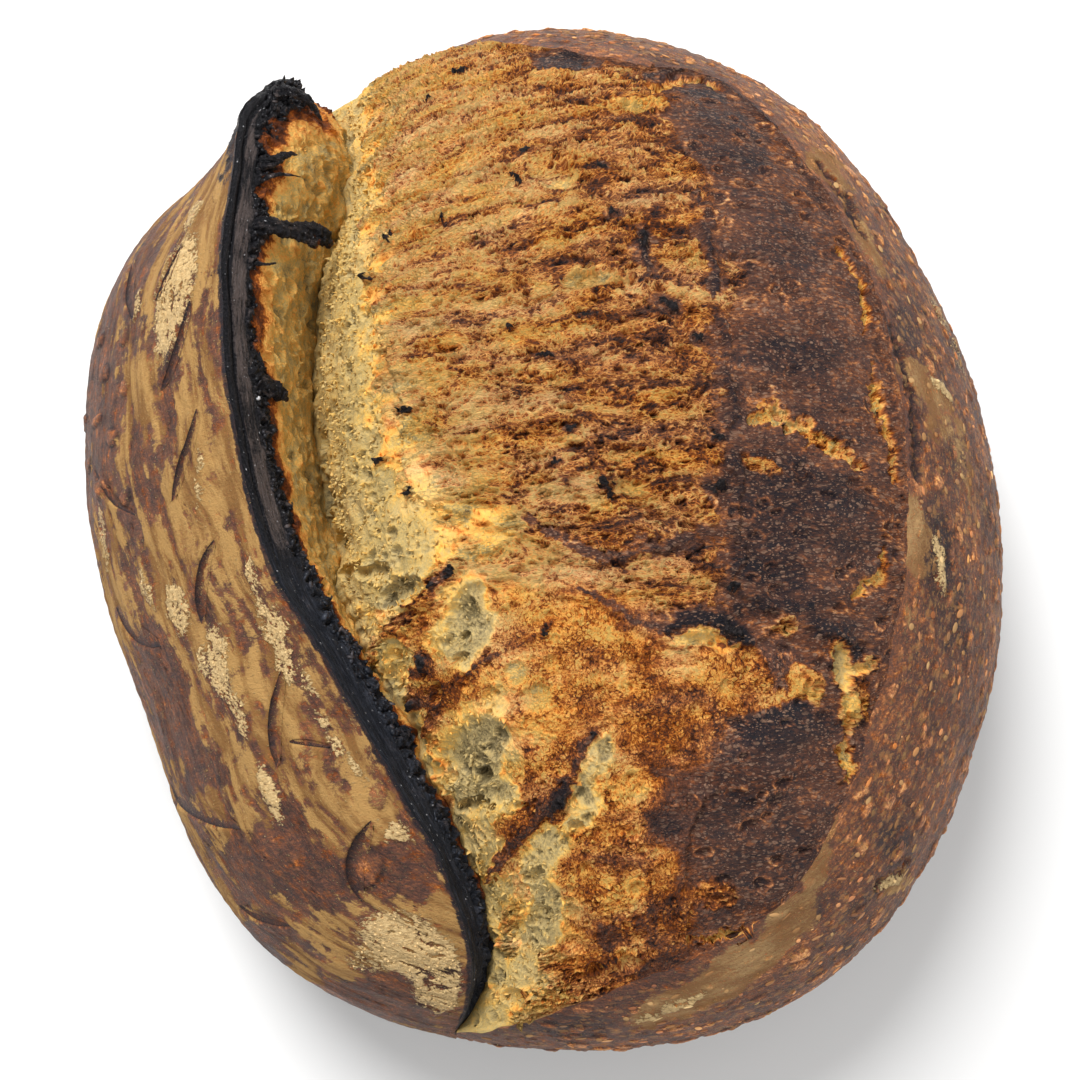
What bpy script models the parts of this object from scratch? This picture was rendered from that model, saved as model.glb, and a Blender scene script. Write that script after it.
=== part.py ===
"""Sourdough loaf: one solid with a long slash, a lifted ear beside it and a domed bloom.

Metres. +X is across the loaf, +Y along it and +Z up. The origin is on the table,
under the middle of the loaf's box. The slash runs from the far end to the near end.
The sizes below are measured from the outline's centre, and the solid is then moved so
that its box is over the origin.
"""
import math

import bmesh
import bpy
import numpy as np

# Driving sizes of the body
OUTLINE = (0.108, 0.109, 0.119, 0.120, 0.110, 0.115,
           0.105, 0.102, 0.118, 0.123, 0.126, 0.115)  # radii every 30 degrees, from +X
BELLY_HEIGHT = 0.037
CROWN_HEIGHT = 0.101
BASE_SHARE = 0.74          # radius of the flat base, as a share of the outline
DOME_SPREAD = 2.3          # how far out the top stays level
DOME_ROUNDING = 0.52       # how roundly it turns down to the belly

# The slash: plan points of its two ends, and the outline angle that each end faces
FAR_END = (-0.050, 0.095)
NEAR_END = (-0.017, -0.119)
FAR_ANGLE = math.radians(117.6)
NEAR_ANGLE = math.radians(261.9)

# The ear's edge, the bottom of the crevice and the crust's lip beyond the bloom.
# Each runs from the far end to the near end; the ends themselves are added to it.
EAR_EDGE = ((-0.051, 0.088, 0.075), (-0.056, 0.081, 0.087), (-0.061, 0.071, 0.091),
            (-0.064, 0.056, 0.093), (-0.065, 0.036, 0.094), (-0.062, 0.007, 0.092),
            (-0.054, -0.024, 0.088), (-0.043, -0.043, 0.086), (-0.029, -0.067, 0.082),
            (-0.018, -0.086, 0.076), (-0.013, -0.103, 0.066), (-0.014, -0.113, 0.057))
CREVICE = ((-0.045, 0.084, 0.058), (-0.043, 0.073, 0.062), (-0.045, 0.060, 0.062),
           (-0.049, 0.042, 0.062), (-0.050, 0.019, 0.058), (-0.046, -0.012, 0.056),
           (-0.041, -0.029, 0.066), (-0.031, -0.049, 0.069), (-0.022, -0.067, 0.067),
           (-0.013, -0.087, 0.061), (-0.009, -0.101, 0.055), (-0.012, -0.112, 0.051))
LIP = ((-0.036, 0.103), (-0.018, 0.106), (0.002, 0.098), (0.022, 0.092), (0.042, 0.091),
       (0.059, 0.070), (0.070, 0.048), (0.076, 0.020), (0.077, -0.010), (0.073, -0.038),
       (0.064, -0.067), (0.052, -0.089), (0.034, -0.102), (0.012, -0.111), (-0.005, -0.117))
EAR_FLARE = 2.4            # how late the skin turns up towards the ear's edge
EAR_STAND = 170.0          # how much later it turns up for each metre that the edge stands
EAR_SHOULDER = 0.72        # how far the ear's cut face reaches across before it falls
EAR_FACE_DROP = 0.10       # how much it has dropped by then
CREVICE_REACH = 0.026      # how far the crevice's wall reaches into the bloom
LIP_STEP = 0.0018          # how far the crust's lip stands above the bloom
LIP_FOOT = 0.0015          # how far in from the lip its foot lies
LIP_FADE = 0.012           # how far in the bloom is back at its full height

# How finely the solid is divided
COLUMNS = 60
SKIN_ROWS = 12
UNDER_ROWS = 7
EAR_ROWS = 7
BLOOM_ROWS = 20
BLOOM_CROWDING = 1.3       # above 1, the rows lie closer together by the crevice
BASE_ROWS = 7
MERGE_DISTANCE = 0.00005

CRUST_COLOUR = (0.30, 0.15, 0.07, 1.0)
CRUST_ROUGHNESS = 0.7


def curve(points, shares):
    """Points at the given shares of the length of a smooth curve through `points`."""
    knots = np.asarray(points, dtype=float)
    before = 2 * knots[:1] - knots[1:2]
    after = 2 * knots[-1:] - knots[-2:-1]
    padded = np.concatenate((before, knots, after))
    reach = np.r_[0, np.cumsum(np.linalg.norm(np.diff(knots, axis=0), axis=1))]
    place = np.interp(np.asarray(shares) * reach[-1], reach, np.arange(len(knots)))
    first = np.minimum(place.astype(int), len(knots) - 2)
    return catmull_rom([padded[first + k] for k in range(4)], (place - first)[..., None])


def catmull_rom(four, f):
    """The smooth curve between the middle two of four points, at share f."""
    p0, p1, p2, p3 = four
    straight = (p2 - p0) * f
    bend = (2 * p0 - 5 * p1 + 4 * p2 - p3) * f ** 2
    twist = (3 * p1 - p0 - 3 * p2 + p3) * f ** 3
    return 0.5 * (2 * p1 + straight + bend + twist)


def outline_radius(angle):
    """The belly's radius at a plan angle."""
    radii = np.asarray(OUTLINE)
    count = len(radii)
    place = (np.asarray(angle) / (2 * math.pi) * count) % count
    first = np.floor(place).astype(int)
    return catmull_rom([radii[(first + k - 1) % count] for k in range(4)], place - first)


def dome_height(plan):
    """Height of the plain dome over plan points, before the slash."""
    x, y = plan[..., 0], plan[..., 1]
    share = np.minimum(np.hypot(x, y) / outline_radius(np.arctan2(y, x)), 1.0)
    rise = (1 - share ** DOME_SPREAD) ** DOME_ROUNDING
    return BELLY_HEIGHT + (CROWN_HEIGHT - BELLY_HEIGHT) * rise


def on_dome(plan):
    """Plan points lifted onto the plain dome."""
    return np.concatenate((plan, dome_height(plan)[..., None]), axis=-1)


def outline_point(angle, share=1.0):
    """Plan points on the outline, or on a smaller copy of it."""
    radius = outline_radius(angle) * share
    return np.stack((radius * np.cos(angle), radius * np.sin(angle)), axis=-1)


def slash_lines(shares):
    """The ear's edge, the crevice and the lip at shares of the slash's length."""
    ends = on_dome(np.array((FAR_END, NEAR_END)))
    lip = on_dome(np.asarray(LIP))
    lines = []
    for middle in (np.asarray(EAR_EDGE), np.asarray(CREVICE), lip):
        lines.append(curve(np.concatenate((ends[:1], middle, ends[1:])), shares))
    lines[2] = on_dome(lines[2][..., :2])
    return lines


def under_rows(angle):
    """Rows from the base's rim up to just below the belly."""
    rows = []
    for turn in np.linspace(math.pi / 2, 0, UNDER_ROWS, endpoint=False):
        share = BASE_SHARE + (1 - BASE_SHARE) * math.cos(turn)
        height = BELLY_HEIGHT * (1 - math.sin(turn))
        plan = outline_point(angle, share)
        rows.append(np.column_stack((plan, np.full(len(plan), height))))
    return rows


def skin_rows(angle, edge):
    """Rows from the belly up to an edge, flaring where the edge leaves the dome."""
    belly = outline_point(angle)
    lift = edge - on_dome(edge[:, :2])
    turn_up = (EAR_FLARE + EAR_STAND * np.linalg.norm(lift, axis=1))[:, None]
    rows = []
    for share in np.linspace(0, 1, SKIN_ROWS + 1):
        inward = 1 - math.cos(share * math.pi / 2)
        plan = belly + (edge[:, :2] - belly) * inward
        rows.append(on_dome(plan) + lift * share ** turn_up)
    return rows


def ear_rows(edge, crevice):
    """Rows down the ear's inner face: over its cut face, then down to the crevice."""
    shoulder = edge + (crevice - edge) * EAR_SHOULDER
    shoulder[:, 2] = edge[:, 2] + (crevice - edge)[:, 2] * EAR_FACE_DROP
    rows = []
    for share in np.linspace(0, 1, EAR_ROWS + 1)[1:]:
        near = edge * (1 - share) ** 2 + shoulder * 2 * share * (1 - share)
        rows.append(near + crevice * share ** 2)
    return rows


def bloom_rows(crevice, lip):
    """Rows from the crevice up its wall and over the bloom, to the foot of the lip."""
    across = lip[:, :2] - crevice[:, :2]
    width = np.linalg.norm(across, axis=1)
    drop = dome_height(crevice[:, :2]) - crevice[:, 2]
    foot = np.maximum(1 - LIP_FOOT / np.maximum(width, LIP_FADE), 0)
    step = LIP_STEP * np.minimum(width / LIP_FADE, 1)
    rows = []
    for share in np.linspace(0, 1, BLOOM_ROWS + 1)[1:]:
        reach = foot * share ** BLOOM_CROWDING
        plan = crevice[:, :2] + across * reach[:, None]
        wall = np.maximum(1 - reach * width / CREVICE_REACH, 0) ** 2
        row = on_dome(plan)
        row[:, 2] -= drop * wall + step * np.exp(-(1 - reach) * width / LIP_FADE)
        rows.append(row)
    return rows


def base_rows(left_angle, right_angle):
    """Rows across the flat base, between its right rim and its left rim."""
    right = outline_point(right_angle, BASE_SHARE)
    left = outline_point(left_angle, BASE_SHARE)
    rows = []
    for share in np.linspace(0, 1, BASE_ROWS + 1)[1:-1]:
        plan = right + (left - right) * share
        rows.append(np.column_stack((plan, np.zeros(len(plan)))))
    return rows


def loaf_rows():
    """Every row of the solid, once round it: left skin, ear, bloom, right skin, base."""
    even = np.linspace(0, 1, COLUMNS)
    shares = (even + (1 - np.cos(math.pi * even)) / 2) / 2
    left_angle = FAR_ANGLE + (NEAR_ANGLE - FAR_ANGLE) * shares
    right_angle = FAR_ANGLE + (NEAR_ANGLE - 2 * math.pi - FAR_ANGLE) * shares
    edge, crevice, lip = slash_lines(shares)
    rows = under_rows(left_angle) + skin_rows(left_angle, edge)
    rows += ear_rows(edge, crevice) + bloom_rows(crevice, lip)
    rows += skin_rows(right_angle, lip)[::-1] + under_rows(right_angle)[::-1]
    return rows + base_rows(left_angle, right_angle)


def centred(grid):
    """The grid moved so that the middle of its box is over the origin."""
    plan = grid[..., :2].reshape(-1, 2)
    middle = (plan.min(axis=0) + plan.max(axis=0)) / 2
    return grid - np.append(middle, 0.0)


def solid_from_rows(name, rows):
    """A closed mesh from rings of rows whose first and last columns are seams."""
    grid = centred(np.stack(rows))
    mesh = bmesh.new()
    verts = [[mesh.verts.new(point) for point in row] for row in grid]
    for row, following in zip(verts, verts[1:] + verts[:1]):
        for k in range(len(row) - 1):
            mesh.faces.new((row[k], row[k + 1], following[k + 1], following[k]))
    bmesh.ops.remove_doubles(mesh, verts=mesh.verts, dist=MERGE_DISTANCE)
    bmesh.ops.dissolve_degenerate(mesh, edges=mesh.edges, dist=MERGE_DISTANCE)
    bmesh.ops.triangulate(mesh, faces=mesh.faces)
    bmesh.ops.recalc_face_normals(mesh, faces=mesh.faces)
    data = bpy.data.meshes.new(name)
    mesh.to_mesh(data)
    mesh.free()
    return data


def crust_material():
    material = bpy.data.materials.new("crust")
    material.use_nodes = True
    shader = material.node_tree.nodes["Principled BSDF"]
    shader.inputs["Base Color"].default_value = CRUST_COLOUR
    shader.inputs["Roughness"].default_value = CRUST_ROUGHNESS
    shader.inputs["Metallic"].default_value = 0.0
    return material


def main():
    for old in list(bpy.data.objects):
        bpy.data.objects.remove(old)
    data = solid_from_rows("loaf", loaf_rows())
    data.materials.append(crust_material())
    loaf = bpy.data.objects.new("loaf", data)
    bpy.context.scene.collection.objects.link(loaf)


main()
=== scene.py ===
"""A sourdough loaf from above: floured crust, charred ear, torn crumb and a dark bloom.

The pieces share one form, lofted from the driving sizes of the solid that they replace.
Repeatable noise adds relief to dense grids, Geometry Nodes scatter the small things, and
procedural materials read the attributes that each grid carries.
Metres, +Z up, the slash along Y. The lists of marks, and what is painted by them, are in
millimetres from the outline's centre.
"""
import math

import bmesh
import bpy
import numpy as np
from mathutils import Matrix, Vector


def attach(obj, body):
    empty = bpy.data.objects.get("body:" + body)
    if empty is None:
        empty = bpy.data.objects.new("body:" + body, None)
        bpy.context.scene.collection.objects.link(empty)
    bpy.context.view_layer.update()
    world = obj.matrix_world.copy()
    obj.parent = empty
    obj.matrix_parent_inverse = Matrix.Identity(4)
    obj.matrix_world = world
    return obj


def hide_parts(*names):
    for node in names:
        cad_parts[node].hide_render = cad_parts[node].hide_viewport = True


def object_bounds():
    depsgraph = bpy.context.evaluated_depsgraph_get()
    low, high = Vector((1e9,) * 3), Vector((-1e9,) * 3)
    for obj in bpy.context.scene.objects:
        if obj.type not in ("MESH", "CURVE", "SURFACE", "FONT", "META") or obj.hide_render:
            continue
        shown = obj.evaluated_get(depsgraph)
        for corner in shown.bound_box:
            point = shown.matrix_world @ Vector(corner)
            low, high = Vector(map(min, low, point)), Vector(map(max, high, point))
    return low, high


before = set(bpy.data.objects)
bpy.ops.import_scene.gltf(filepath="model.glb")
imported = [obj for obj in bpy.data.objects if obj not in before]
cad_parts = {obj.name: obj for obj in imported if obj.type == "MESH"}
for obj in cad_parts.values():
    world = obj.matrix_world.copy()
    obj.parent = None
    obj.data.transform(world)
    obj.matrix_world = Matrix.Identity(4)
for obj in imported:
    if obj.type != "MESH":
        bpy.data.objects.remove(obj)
CAD_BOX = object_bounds()
MM = 0.001
CRUST_THICKNESS = 2.5 * MM

# --- Driving sizes -------------------------------

# As in the solid, but for the ear's tip, which leans a few millimetres further out
OUTLINE = (0.108, 0.109, 0.119, 0.120, 0.110, 0.115,
           0.105, 0.102, 0.118, 0.123, 0.126, 0.115)  # radii every 30 degrees, from +X
BELLY_HEIGHT = 0.037
CROWN_HEIGHT = CAD_BOX[1][2]
BASE_SHARE = 0.74          # radius of the flat base, as a share of the outline
DOME_SPREAD = 2.3          # how far out the top stays level
DOME_ROUNDING = 0.52       # how roundly it turns down to the belly
# The slash: its two ends, and the outline angle that each end faces
FAR_END = (-0.050, 0.095)
NEAR_END = (-0.017, -0.119)
FAR_ANGLE = math.radians(117.6)
NEAR_ANGLE = math.radians(261.9)
# The ear's edge, the bottom of the crevice and the crust's lip, from the far end to the near
EAR_EDGE = ((-0.0568, 0.0873, 0.078), (-0.0604, 0.0803, 0.0872), (-0.0635, 0.071, 0.091),
            (-0.064, 0.056, 0.093), (-0.065, 0.036, 0.094), (-0.062, 0.007, 0.092),
            (-0.054, -0.024, 0.088), (-0.043, -0.043, 0.086), (-0.029, -0.067, 0.082),
            (-0.018, -0.086, 0.076), (-0.013, -0.103, 0.066), (-0.014, -0.113, 0.057))
CREVICE = ((-0.045, 0.084, 0.058), (-0.043, 0.073, 0.062), (-0.045, 0.060, 0.062),
           (-0.049, 0.042, 0.062), (-0.050, 0.019, 0.058), (-0.046, -0.012, 0.056),
           (-0.041, -0.029, 0.066), (-0.031, -0.049, 0.069), (-0.022, -0.067, 0.067),
           (-0.013, -0.087, 0.061), (-0.009, -0.101, 0.055), (-0.012, -0.112, 0.051))
LIP = ((-0.036, 0.103), (-0.018, 0.106), (0.002, 0.098), (0.022, 0.092), (0.042, 0.091),
       (0.059, 0.070), (0.070, 0.048), (0.076, 0.020), (0.077, -0.010), (0.073, -0.038),
       (0.064, -0.067), (0.052, -0.089), (0.034, -0.102), (0.012, -0.111), (-0.005, -0.117))
EAR_FLARE = 2.4            # how late the skin turns up towards the ear's edge
EAR_STAND = 170.0          # how much later it turns up for each metre that the edge stands
EAR_SHOULDER = 0.72        # how far the ear's cut face reaches across before it falls
EAR_FACE_DROP = 0.10       # how much it has dropped by then
CREVICE_REACH = 0.026      # how far the crevice's wall reaches into the bloom
LIP_STEP = 0.0018          # how far the crust's lip stands above the bloom
LIP_EASE = 0.0022          # how far in from the lip its step goes down
LIP_FADE = 0.012           # how far in the bloom is back at its full height
BLOOM_CROWDING = 1.12      # above 1, the rows lie closer together by the crevice
SLASH_TRIM = 0.0015        # share of the slash that is left off at each end

# How finely each grid is divided
FLOURED_COLUMNS = 701
BLISTERED_COLUMNS = 801
UNDER_ROWS = 34
FLOURED_ROWS = 190
BLISTERED_ROWS = 100
EAR_COLUMNS = 800
EAR_ROWS = 112
BLOOM_COLUMNS = 1200
BLOOM_ROWS = 361
BASE_ROWS = 40
BASE_COLUMNS = 240
# Rows or columns where a grid is cut into pieces of fewer triangles
BLOOM_SPLITS = (0, 72, 144, 216, 288, 360)
FLOURED_SPLITS = (0, 350, 700)
BLISTERED_SPLITS = (0, 400, 800)
INNER_STEP = 8             # the inner wall has one line of points for this many outer ones
LINE_STEPS = 6             # straight steps between two points of a smooth line of marks
DOME_STEPS = 600
OUTLINE_STEPS = 721
# Where a piece's outer face, inner wall and rim lie up the bake map
OUTER_SPOTS = (0.0, 0.93)
INNER_SPOTS = (0.94, 0.98)
RIM_SPOTS = (0.99, 0.99, 1.0, 1.0)


# --- Form ----------------------------------------

def catmull_rom(four, f):
    """The smooth curve between the middle two of four points, at share f."""
    p0, p1, p2, p3 = four
    straight = (p2 - p0) * f
    bend = (2 * p0 - 5 * p1 + 4 * p2 - p3) * f ** 2
    twist = (3 * p1 - p0 - 3 * p2 + p3) * f ** 3
    return 0.5 * (2 * p1 + straight + bend + twist)


def arc_length(line):
    """How far along a line each of its points lies."""
    return np.r_[0, np.cumsum(np.linalg.norm(np.diff(line, axis=0), axis=1))]


def curve(points, shares):
    """Points at the given shares of the length of a smooth curve through `points`."""
    knots = np.asarray(points, dtype=float)
    before = 2 * knots[:1] - knots[1:2]
    after = 2 * knots[-1:] - knots[-2:-1]
    padded = np.concatenate((before, knots, after))
    reach = arc_length(knots)
    place = np.interp(np.asarray(shares) * reach[-1], reach, np.arange(len(knots)))
    first = np.minimum(place.astype(int), len(knots) - 2)
    return catmull_rom([padded[first + k] for k in range(4)], (place - first)[..., None])


def outline_radius(angle):
    """How far the outline lies from the middle in each direction."""
    radii = np.asarray(OUTLINE)
    count = len(radii)
    place = (np.asarray(angle) / (2 * math.pi) * count) % count
    first = np.floor(place).astype(int)
    return catmull_rom([radii[(first + k - 1) % count] for k in range(4)], place - first)


def outline_point(angle, share=1.0):
    radius = outline_radius(angle) * share
    return np.stack((radius * np.cos(angle), radius * np.sin(angle)), axis=-1)


def dome_height(plan):
    """Height of the plain dome over plan points, before the slash."""
    x, y = plan[..., 0], plan[..., 1]
    share = np.minimum(np.hypot(x, y) / outline_radius(np.arctan2(y, x)), 1.0)
    rise = (1 - share ** DOME_SPREAD) ** DOME_ROUNDING
    return BELLY_HEIGHT + (CROWN_HEIGHT - BELLY_HEIGHT) * rise


def on_dome(plan):
    return np.concatenate((plan, dome_height(plan)[..., None]), axis=-1)


def slash_lines(shares):
    """The ear's edge, the crevice and the lip at shares of the slash's length."""
    ends = on_dome(np.array((FAR_END, NEAR_END)))
    lip = on_dome(np.asarray(LIP))
    lines = []
    for middle in (np.asarray(EAR_EDGE), np.asarray(CREVICE), lip):
        lines.append(curve(np.concatenate((ends[:1], middle, ends[1:])), shares))
    lines[2] = on_dome(lines[2][..., :2])
    return lines


def slash_shares(count):
    """Shares along the slash that lie closer together towards its two ends."""
    even = np.linspace(0, 1, count)
    return (even + (1 - np.cos(math.pi * even)) / 2) / 2


def slash_angles(count, last):
    """Directions of the outline's points from the slash's far end to its near end."""
    return FAR_ANGLE + slash_shares(count) * (last - FAR_ANGLE)


def skin_grid(angle, edge, skin_rows):
    """A grid of points from the base's rim, round the belly, up to an edge."""
    rows = []
    for turn in np.linspace(math.pi / 2, 0, UNDER_ROWS, endpoint=False):
        share = BASE_SHARE + (1 - BASE_SHARE) * math.cos(turn)
        plan = outline_point(angle, share)
        height = BELLY_HEIGHT * (1 - math.sin(turn))
        rows.append(np.column_stack((plan, np.full(len(plan), height))))
    belly = outline_point(angle)
    lift = edge - on_dome(edge[:, :2])
    turn_up = (EAR_FLARE + EAR_STAND * np.linalg.norm(lift, axis=1))[:, None]
    for share in np.linspace(0, 1, skin_rows):
        plan = belly + (edge[:, :2] - belly) * (1 - math.cos(share * math.pi / 2))
        rows.append(on_dome(plan) + lift * share ** turn_up)
    return np.stack(rows)


def ear_grid(edge, crevice):
    """The ear's inner face: over its cut face, then down to the crevice."""
    shoulder = edge + (crevice - edge) * EAR_SHOULDER
    shoulder[:, 2] = edge[:, 2] + (crevice - edge)[:, 2] * EAR_FACE_DROP
    share = np.linspace(0, 1, EAR_ROWS)[:, None, None]
    return edge * (1 - share) ** 2 + shoulder * 2 * share * (1 - share) + crevice * share ** 2


def bloom_grid(crevice, lip):
    """The bloom from the crevice, up its wall, to the lip; and how far across each row is."""
    across = lip[:, :2] - crevice[:, :2]
    width = np.linalg.norm(across, axis=1)
    drop = dome_height(crevice[:, :2]) - crevice[:, 2]
    step = LIP_STEP * np.minimum(width / LIP_FADE, 1)
    reach = (np.linspace(0, 1, BLOOM_ROWS) ** BLOOM_CROWDING)[:, None]
    grid = on_dome(crevice[:, :2] + across * reach[..., None])
    left = (1 - reach) * width
    narrow = ease(0.030, 0.014, width)
    rise = mix(1 - reach ** 3, (1 - reach) ** 1.4, narrow)
    wall = np.maximum(1 - reach * width / CREVICE_REACH, 0) ** 2 * rise
    foot = np.exp(-left / LIP_FADE) * (1 - np.exp(-left / LIP_EASE))
    grid[..., 2] -= drop * wall + step * foot
    return grid, reach * width


# --- Repeatable noise ----------------------------

# Its points are divided by the size of the features; the last number of a call is a seed.

def unit_vectors(count, seed, dimensions):
    vectors = np.random.default_rng(seed).normal(size=(count, dimensions))
    return vectors / np.linalg.norm(vectors, axis=1)[:, None]


GRADIENTS = {2: unit_vectors(256, 7, 2), 3: unit_vectors(256, 7, 3)}
NOISE_GAIN = 1.6           # brings the noise to about -1 to 1
FRACTAL_STEP = 2.03        # how much finer each octave is than the one before
RIDGE_STEP = 2.1
# Large numbers that scramble a cell's place and its seed
CELL_STEPS = (374761393, 668265263, 1440662683)
SEED_STEP = 974711
SCRAMBLER = 1274126177
LOW_32 = 0xFFFFFFFF


def hashed(cell, seed):
    """A repeatable whole number for each whole-number cell."""
    n = seed * SEED_STEP + sum(cell[..., k] * CELL_STEPS[k] for k in range(cell.shape[-1]))
    n = n & LOW_32
    n = ((n ^ (n >> 13)) * SCRAMBLER) & LOW_32
    return n ^ (n >> 16)


def noise(points, seed=0):
    """Smooth noise of about -1 to 1, one bump per unit, over a plane or through space."""
    dimensions = points.shape[-1]
    base = np.floor(points).astype(np.int64)
    f = points - base
    fade = f * f * f * (f * (f * 6 - 15) + 10)
    total = np.zeros(points.shape[:-1])
    for corner in np.ndindex((2,) * dimensions):
        gradient = GRADIENTS[dimensions][hashed(base + corner, seed) & 255]
        weight = np.prod(np.where(corner, fade, 1 - fade), axis=-1)
        total += weight * ((f - corner) * gradient).sum(axis=-1)
    return NOISE_GAIN * total


def noises(points, seed, count=2):
    """Several noises side by side, which shift points about."""
    return np.stack([noise(points, seed + k) for k in range(count)], axis=-1)


def fractal(points, octaves=3, seed=0):
    """Noise of finer and finer features, -1 to 1."""
    total = np.zeros(points.shape[:-1])
    for octave in range(octaves):
        total += 0.5 ** octave * noise(points * FRACTAL_STEP ** octave, seed + octave)
    return total / (2 - 2 * 0.5 ** octaves)


def ridges(points, octaves=3, seed=0):
    """Noise with sharp crests, 0 to 1."""
    total = np.zeros(points.shape[:-1])
    for octave in range(octaves):
        crest = 1 - np.abs(noise(points * RIDGE_STEP ** octave, seed + octave))
        total += 0.5 ** octave * crest ** 2
    return total / (2 - 2 * 0.5 ** octaves)


def cells(points, seed=0):
    """Distances to the two nearest scattered centres, and a number for the nearest."""
    dimensions = points.shape[-1]
    base = np.floor(points).astype(np.int64)
    nearest = np.full(points.shape[:-1], 9.0)
    second = nearest.copy()
    name = np.zeros(points.shape[:-1])
    for step in np.ndindex((3,) * dimensions):
        cell = base + (np.array(step) - 1)
        number = hashed(cell, seed)
        shift = [(number >> 8 * k & 255) / 255 for k in range(dimensions)]
        centre = cell + np.stack(shift, axis=-1)
        away = np.linalg.norm(points - centre, axis=-1)
        closer = away < nearest
        second = np.where(closer, nearest, np.minimum(second, away))
        name = np.where(closer, (number >> 5 & 1023) / 1023, name)
        nearest = np.where(closer, away, nearest)
    return nearest, second, name


def ease(low, high, x):
    """0 below low, 1 above high, smooth between; low may be the larger."""
    t = np.clip((x - low) / (high - low), 0, 1)
    return t * t * (3 - 2 * t)


def rows_up(grid):
    """How far along its column each point lies, over the surface."""
    steps = np.linalg.norm(np.diff(grid, axis=0), axis=2)
    return np.concatenate((np.zeros((1, grid.shape[1])), np.cumsum(steps, axis=0)))


def grid_normals(grid):
    along = np.gradient(grid, axis=1)
    across = np.gradient(grid, axis=0)
    normal = np.cross(along, across)
    return normal / np.maximum(np.linalg.norm(normal, axis=-1, keepdims=True), 1e-12)


def lens(plan, mark):
    """Distance from the centre of a mark, 1 on its edge."""
    x, y, half_x, half_y, turn = mark[:5]
    c, s = math.cos(math.radians(turn)), math.sin(math.radians(turn))
    dx, dy = plan[..., 0] - x, plan[..., 1] - y
    return np.hypot((dx * c + dy * s) / half_x, (dy * c - dx * s) / half_y)


def unrolled(plan):
    """Plan points moved out from the middle as far as they lie over the dome."""
    x, y = plan[..., 0], plan[..., 1]
    radius = outline_radius(np.arctan2(y, x))
    share = np.clip(np.hypot(x, y) / radius, 1e-6, 1)
    steps = np.sin(np.linspace(0, math.pi / 2, DOME_STEPS))
    rise = (CROWN_HEIGHT - BELLY_HEIGHT) * (1 - steps ** DOME_SPREAD) ** DOME_ROUNDING
    middle_radius = float(np.mean(OUTLINE))
    length = np.r_[0, np.cumsum(np.hypot(np.diff(steps) * middle_radius, np.diff(rise)))]
    return plan * (np.interp(share, steps, length) / (share * middle_radius))[..., None]


def tear_flow(grid):
    """Millimetres along the strands of the stretched dough, and across them."""
    plan = grid[..., :2]
    x, y = np.moveaxis(unrolled(plan), -1, 0) / MM
    depth = (grid[..., 2] - dome_height(plan)) / MM
    right = np.clip(x, 0, 45)
    bent = np.minimum(x, 0) + right - right ** 2 / 90
    tilt = 0.06 * x + 0.27 * ease(-14, 60, y) * bent
    return np.stack((x + 0.5 * depth, y - tilt), axis=-1)


def line_distance(plan, points, margin):
    """Distance from a smooth line, its signed side, and how far along it the point lies."""
    line = curve(points, np.linspace(0, 1, LINE_STEPS * len(points)))
    away = np.full(plan.shape[:-1], 1e3)
    side = np.full(plan.shape[:-1], 1e3)
    share = np.zeros(plan.shape[:-1])
    low, high = line.min(axis=0) - margin, line.max(axis=0) + margin
    inside = np.all((plan > low) & (plan < high), axis=-1)
    chosen = plan[inside]
    best = np.full(len(chosen), 1e3)
    signed = best.copy()
    along = 0 * best
    for number, (start, end) in enumerate(zip(line[:-1], line[1:])):
        step = end - start
        offset = chosen - start
        t = np.clip((offset @ step) / (step @ step), 0, 1)
        gap = np.linalg.norm(offset - t[:, None] * step, axis=-1)
        turn = (step[0] * offset[:, 1] - step[1] * offset[:, 0]) / np.linalg.norm(step)
        closer = gap < best
        signed = np.where(closer, turn, signed)
        along = np.where(closer, (number + t) / (len(line) - 1), along)
        best = np.minimum(best, gap)
    away[inside], side[inside], share[inside] = best, signed, along
    return away, side, share


# --- Marks, in plan millimetres ------------------

# Across the bloom at each y: where pale crumb, yellow, gold, brown and dark crust begin
TEAR_ZONES = (
    (104, -48, -44, -34, 8, 44), (90, -43, -39, -32, 14, 46), (80, -42, -38, -28, 22, 33),
    (60, -40, -37, -28, 30, 37), (40, -38, -34, -26, 34, 42), (20, -38, -33, -23, 32, 42),
    (0, -36, -29, -19, 32, 42), (-15, -31, -21, -7, 34, 40), (-28, -22, -12, 2, 36, 40),
    (-40, -24, -16, -4, 36, 46), (-50, -26, -18, -4, 28, 44), (-60, -22, -14, 2, 20, 36),
    (-72, -18, -8, 5, 18, 30), (-85, -8, 0, 7, 17, 30), (-98, -8, 0, 6, 15, 28),
    (-112, -10, -4, 2, 10, 40),
)
ZONE_BAKES = (0.12, 0.25, 0.43, 0.605, 0.74)
OPEN_BAKE = 0.4            # a band paler than this is an open crack

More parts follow.
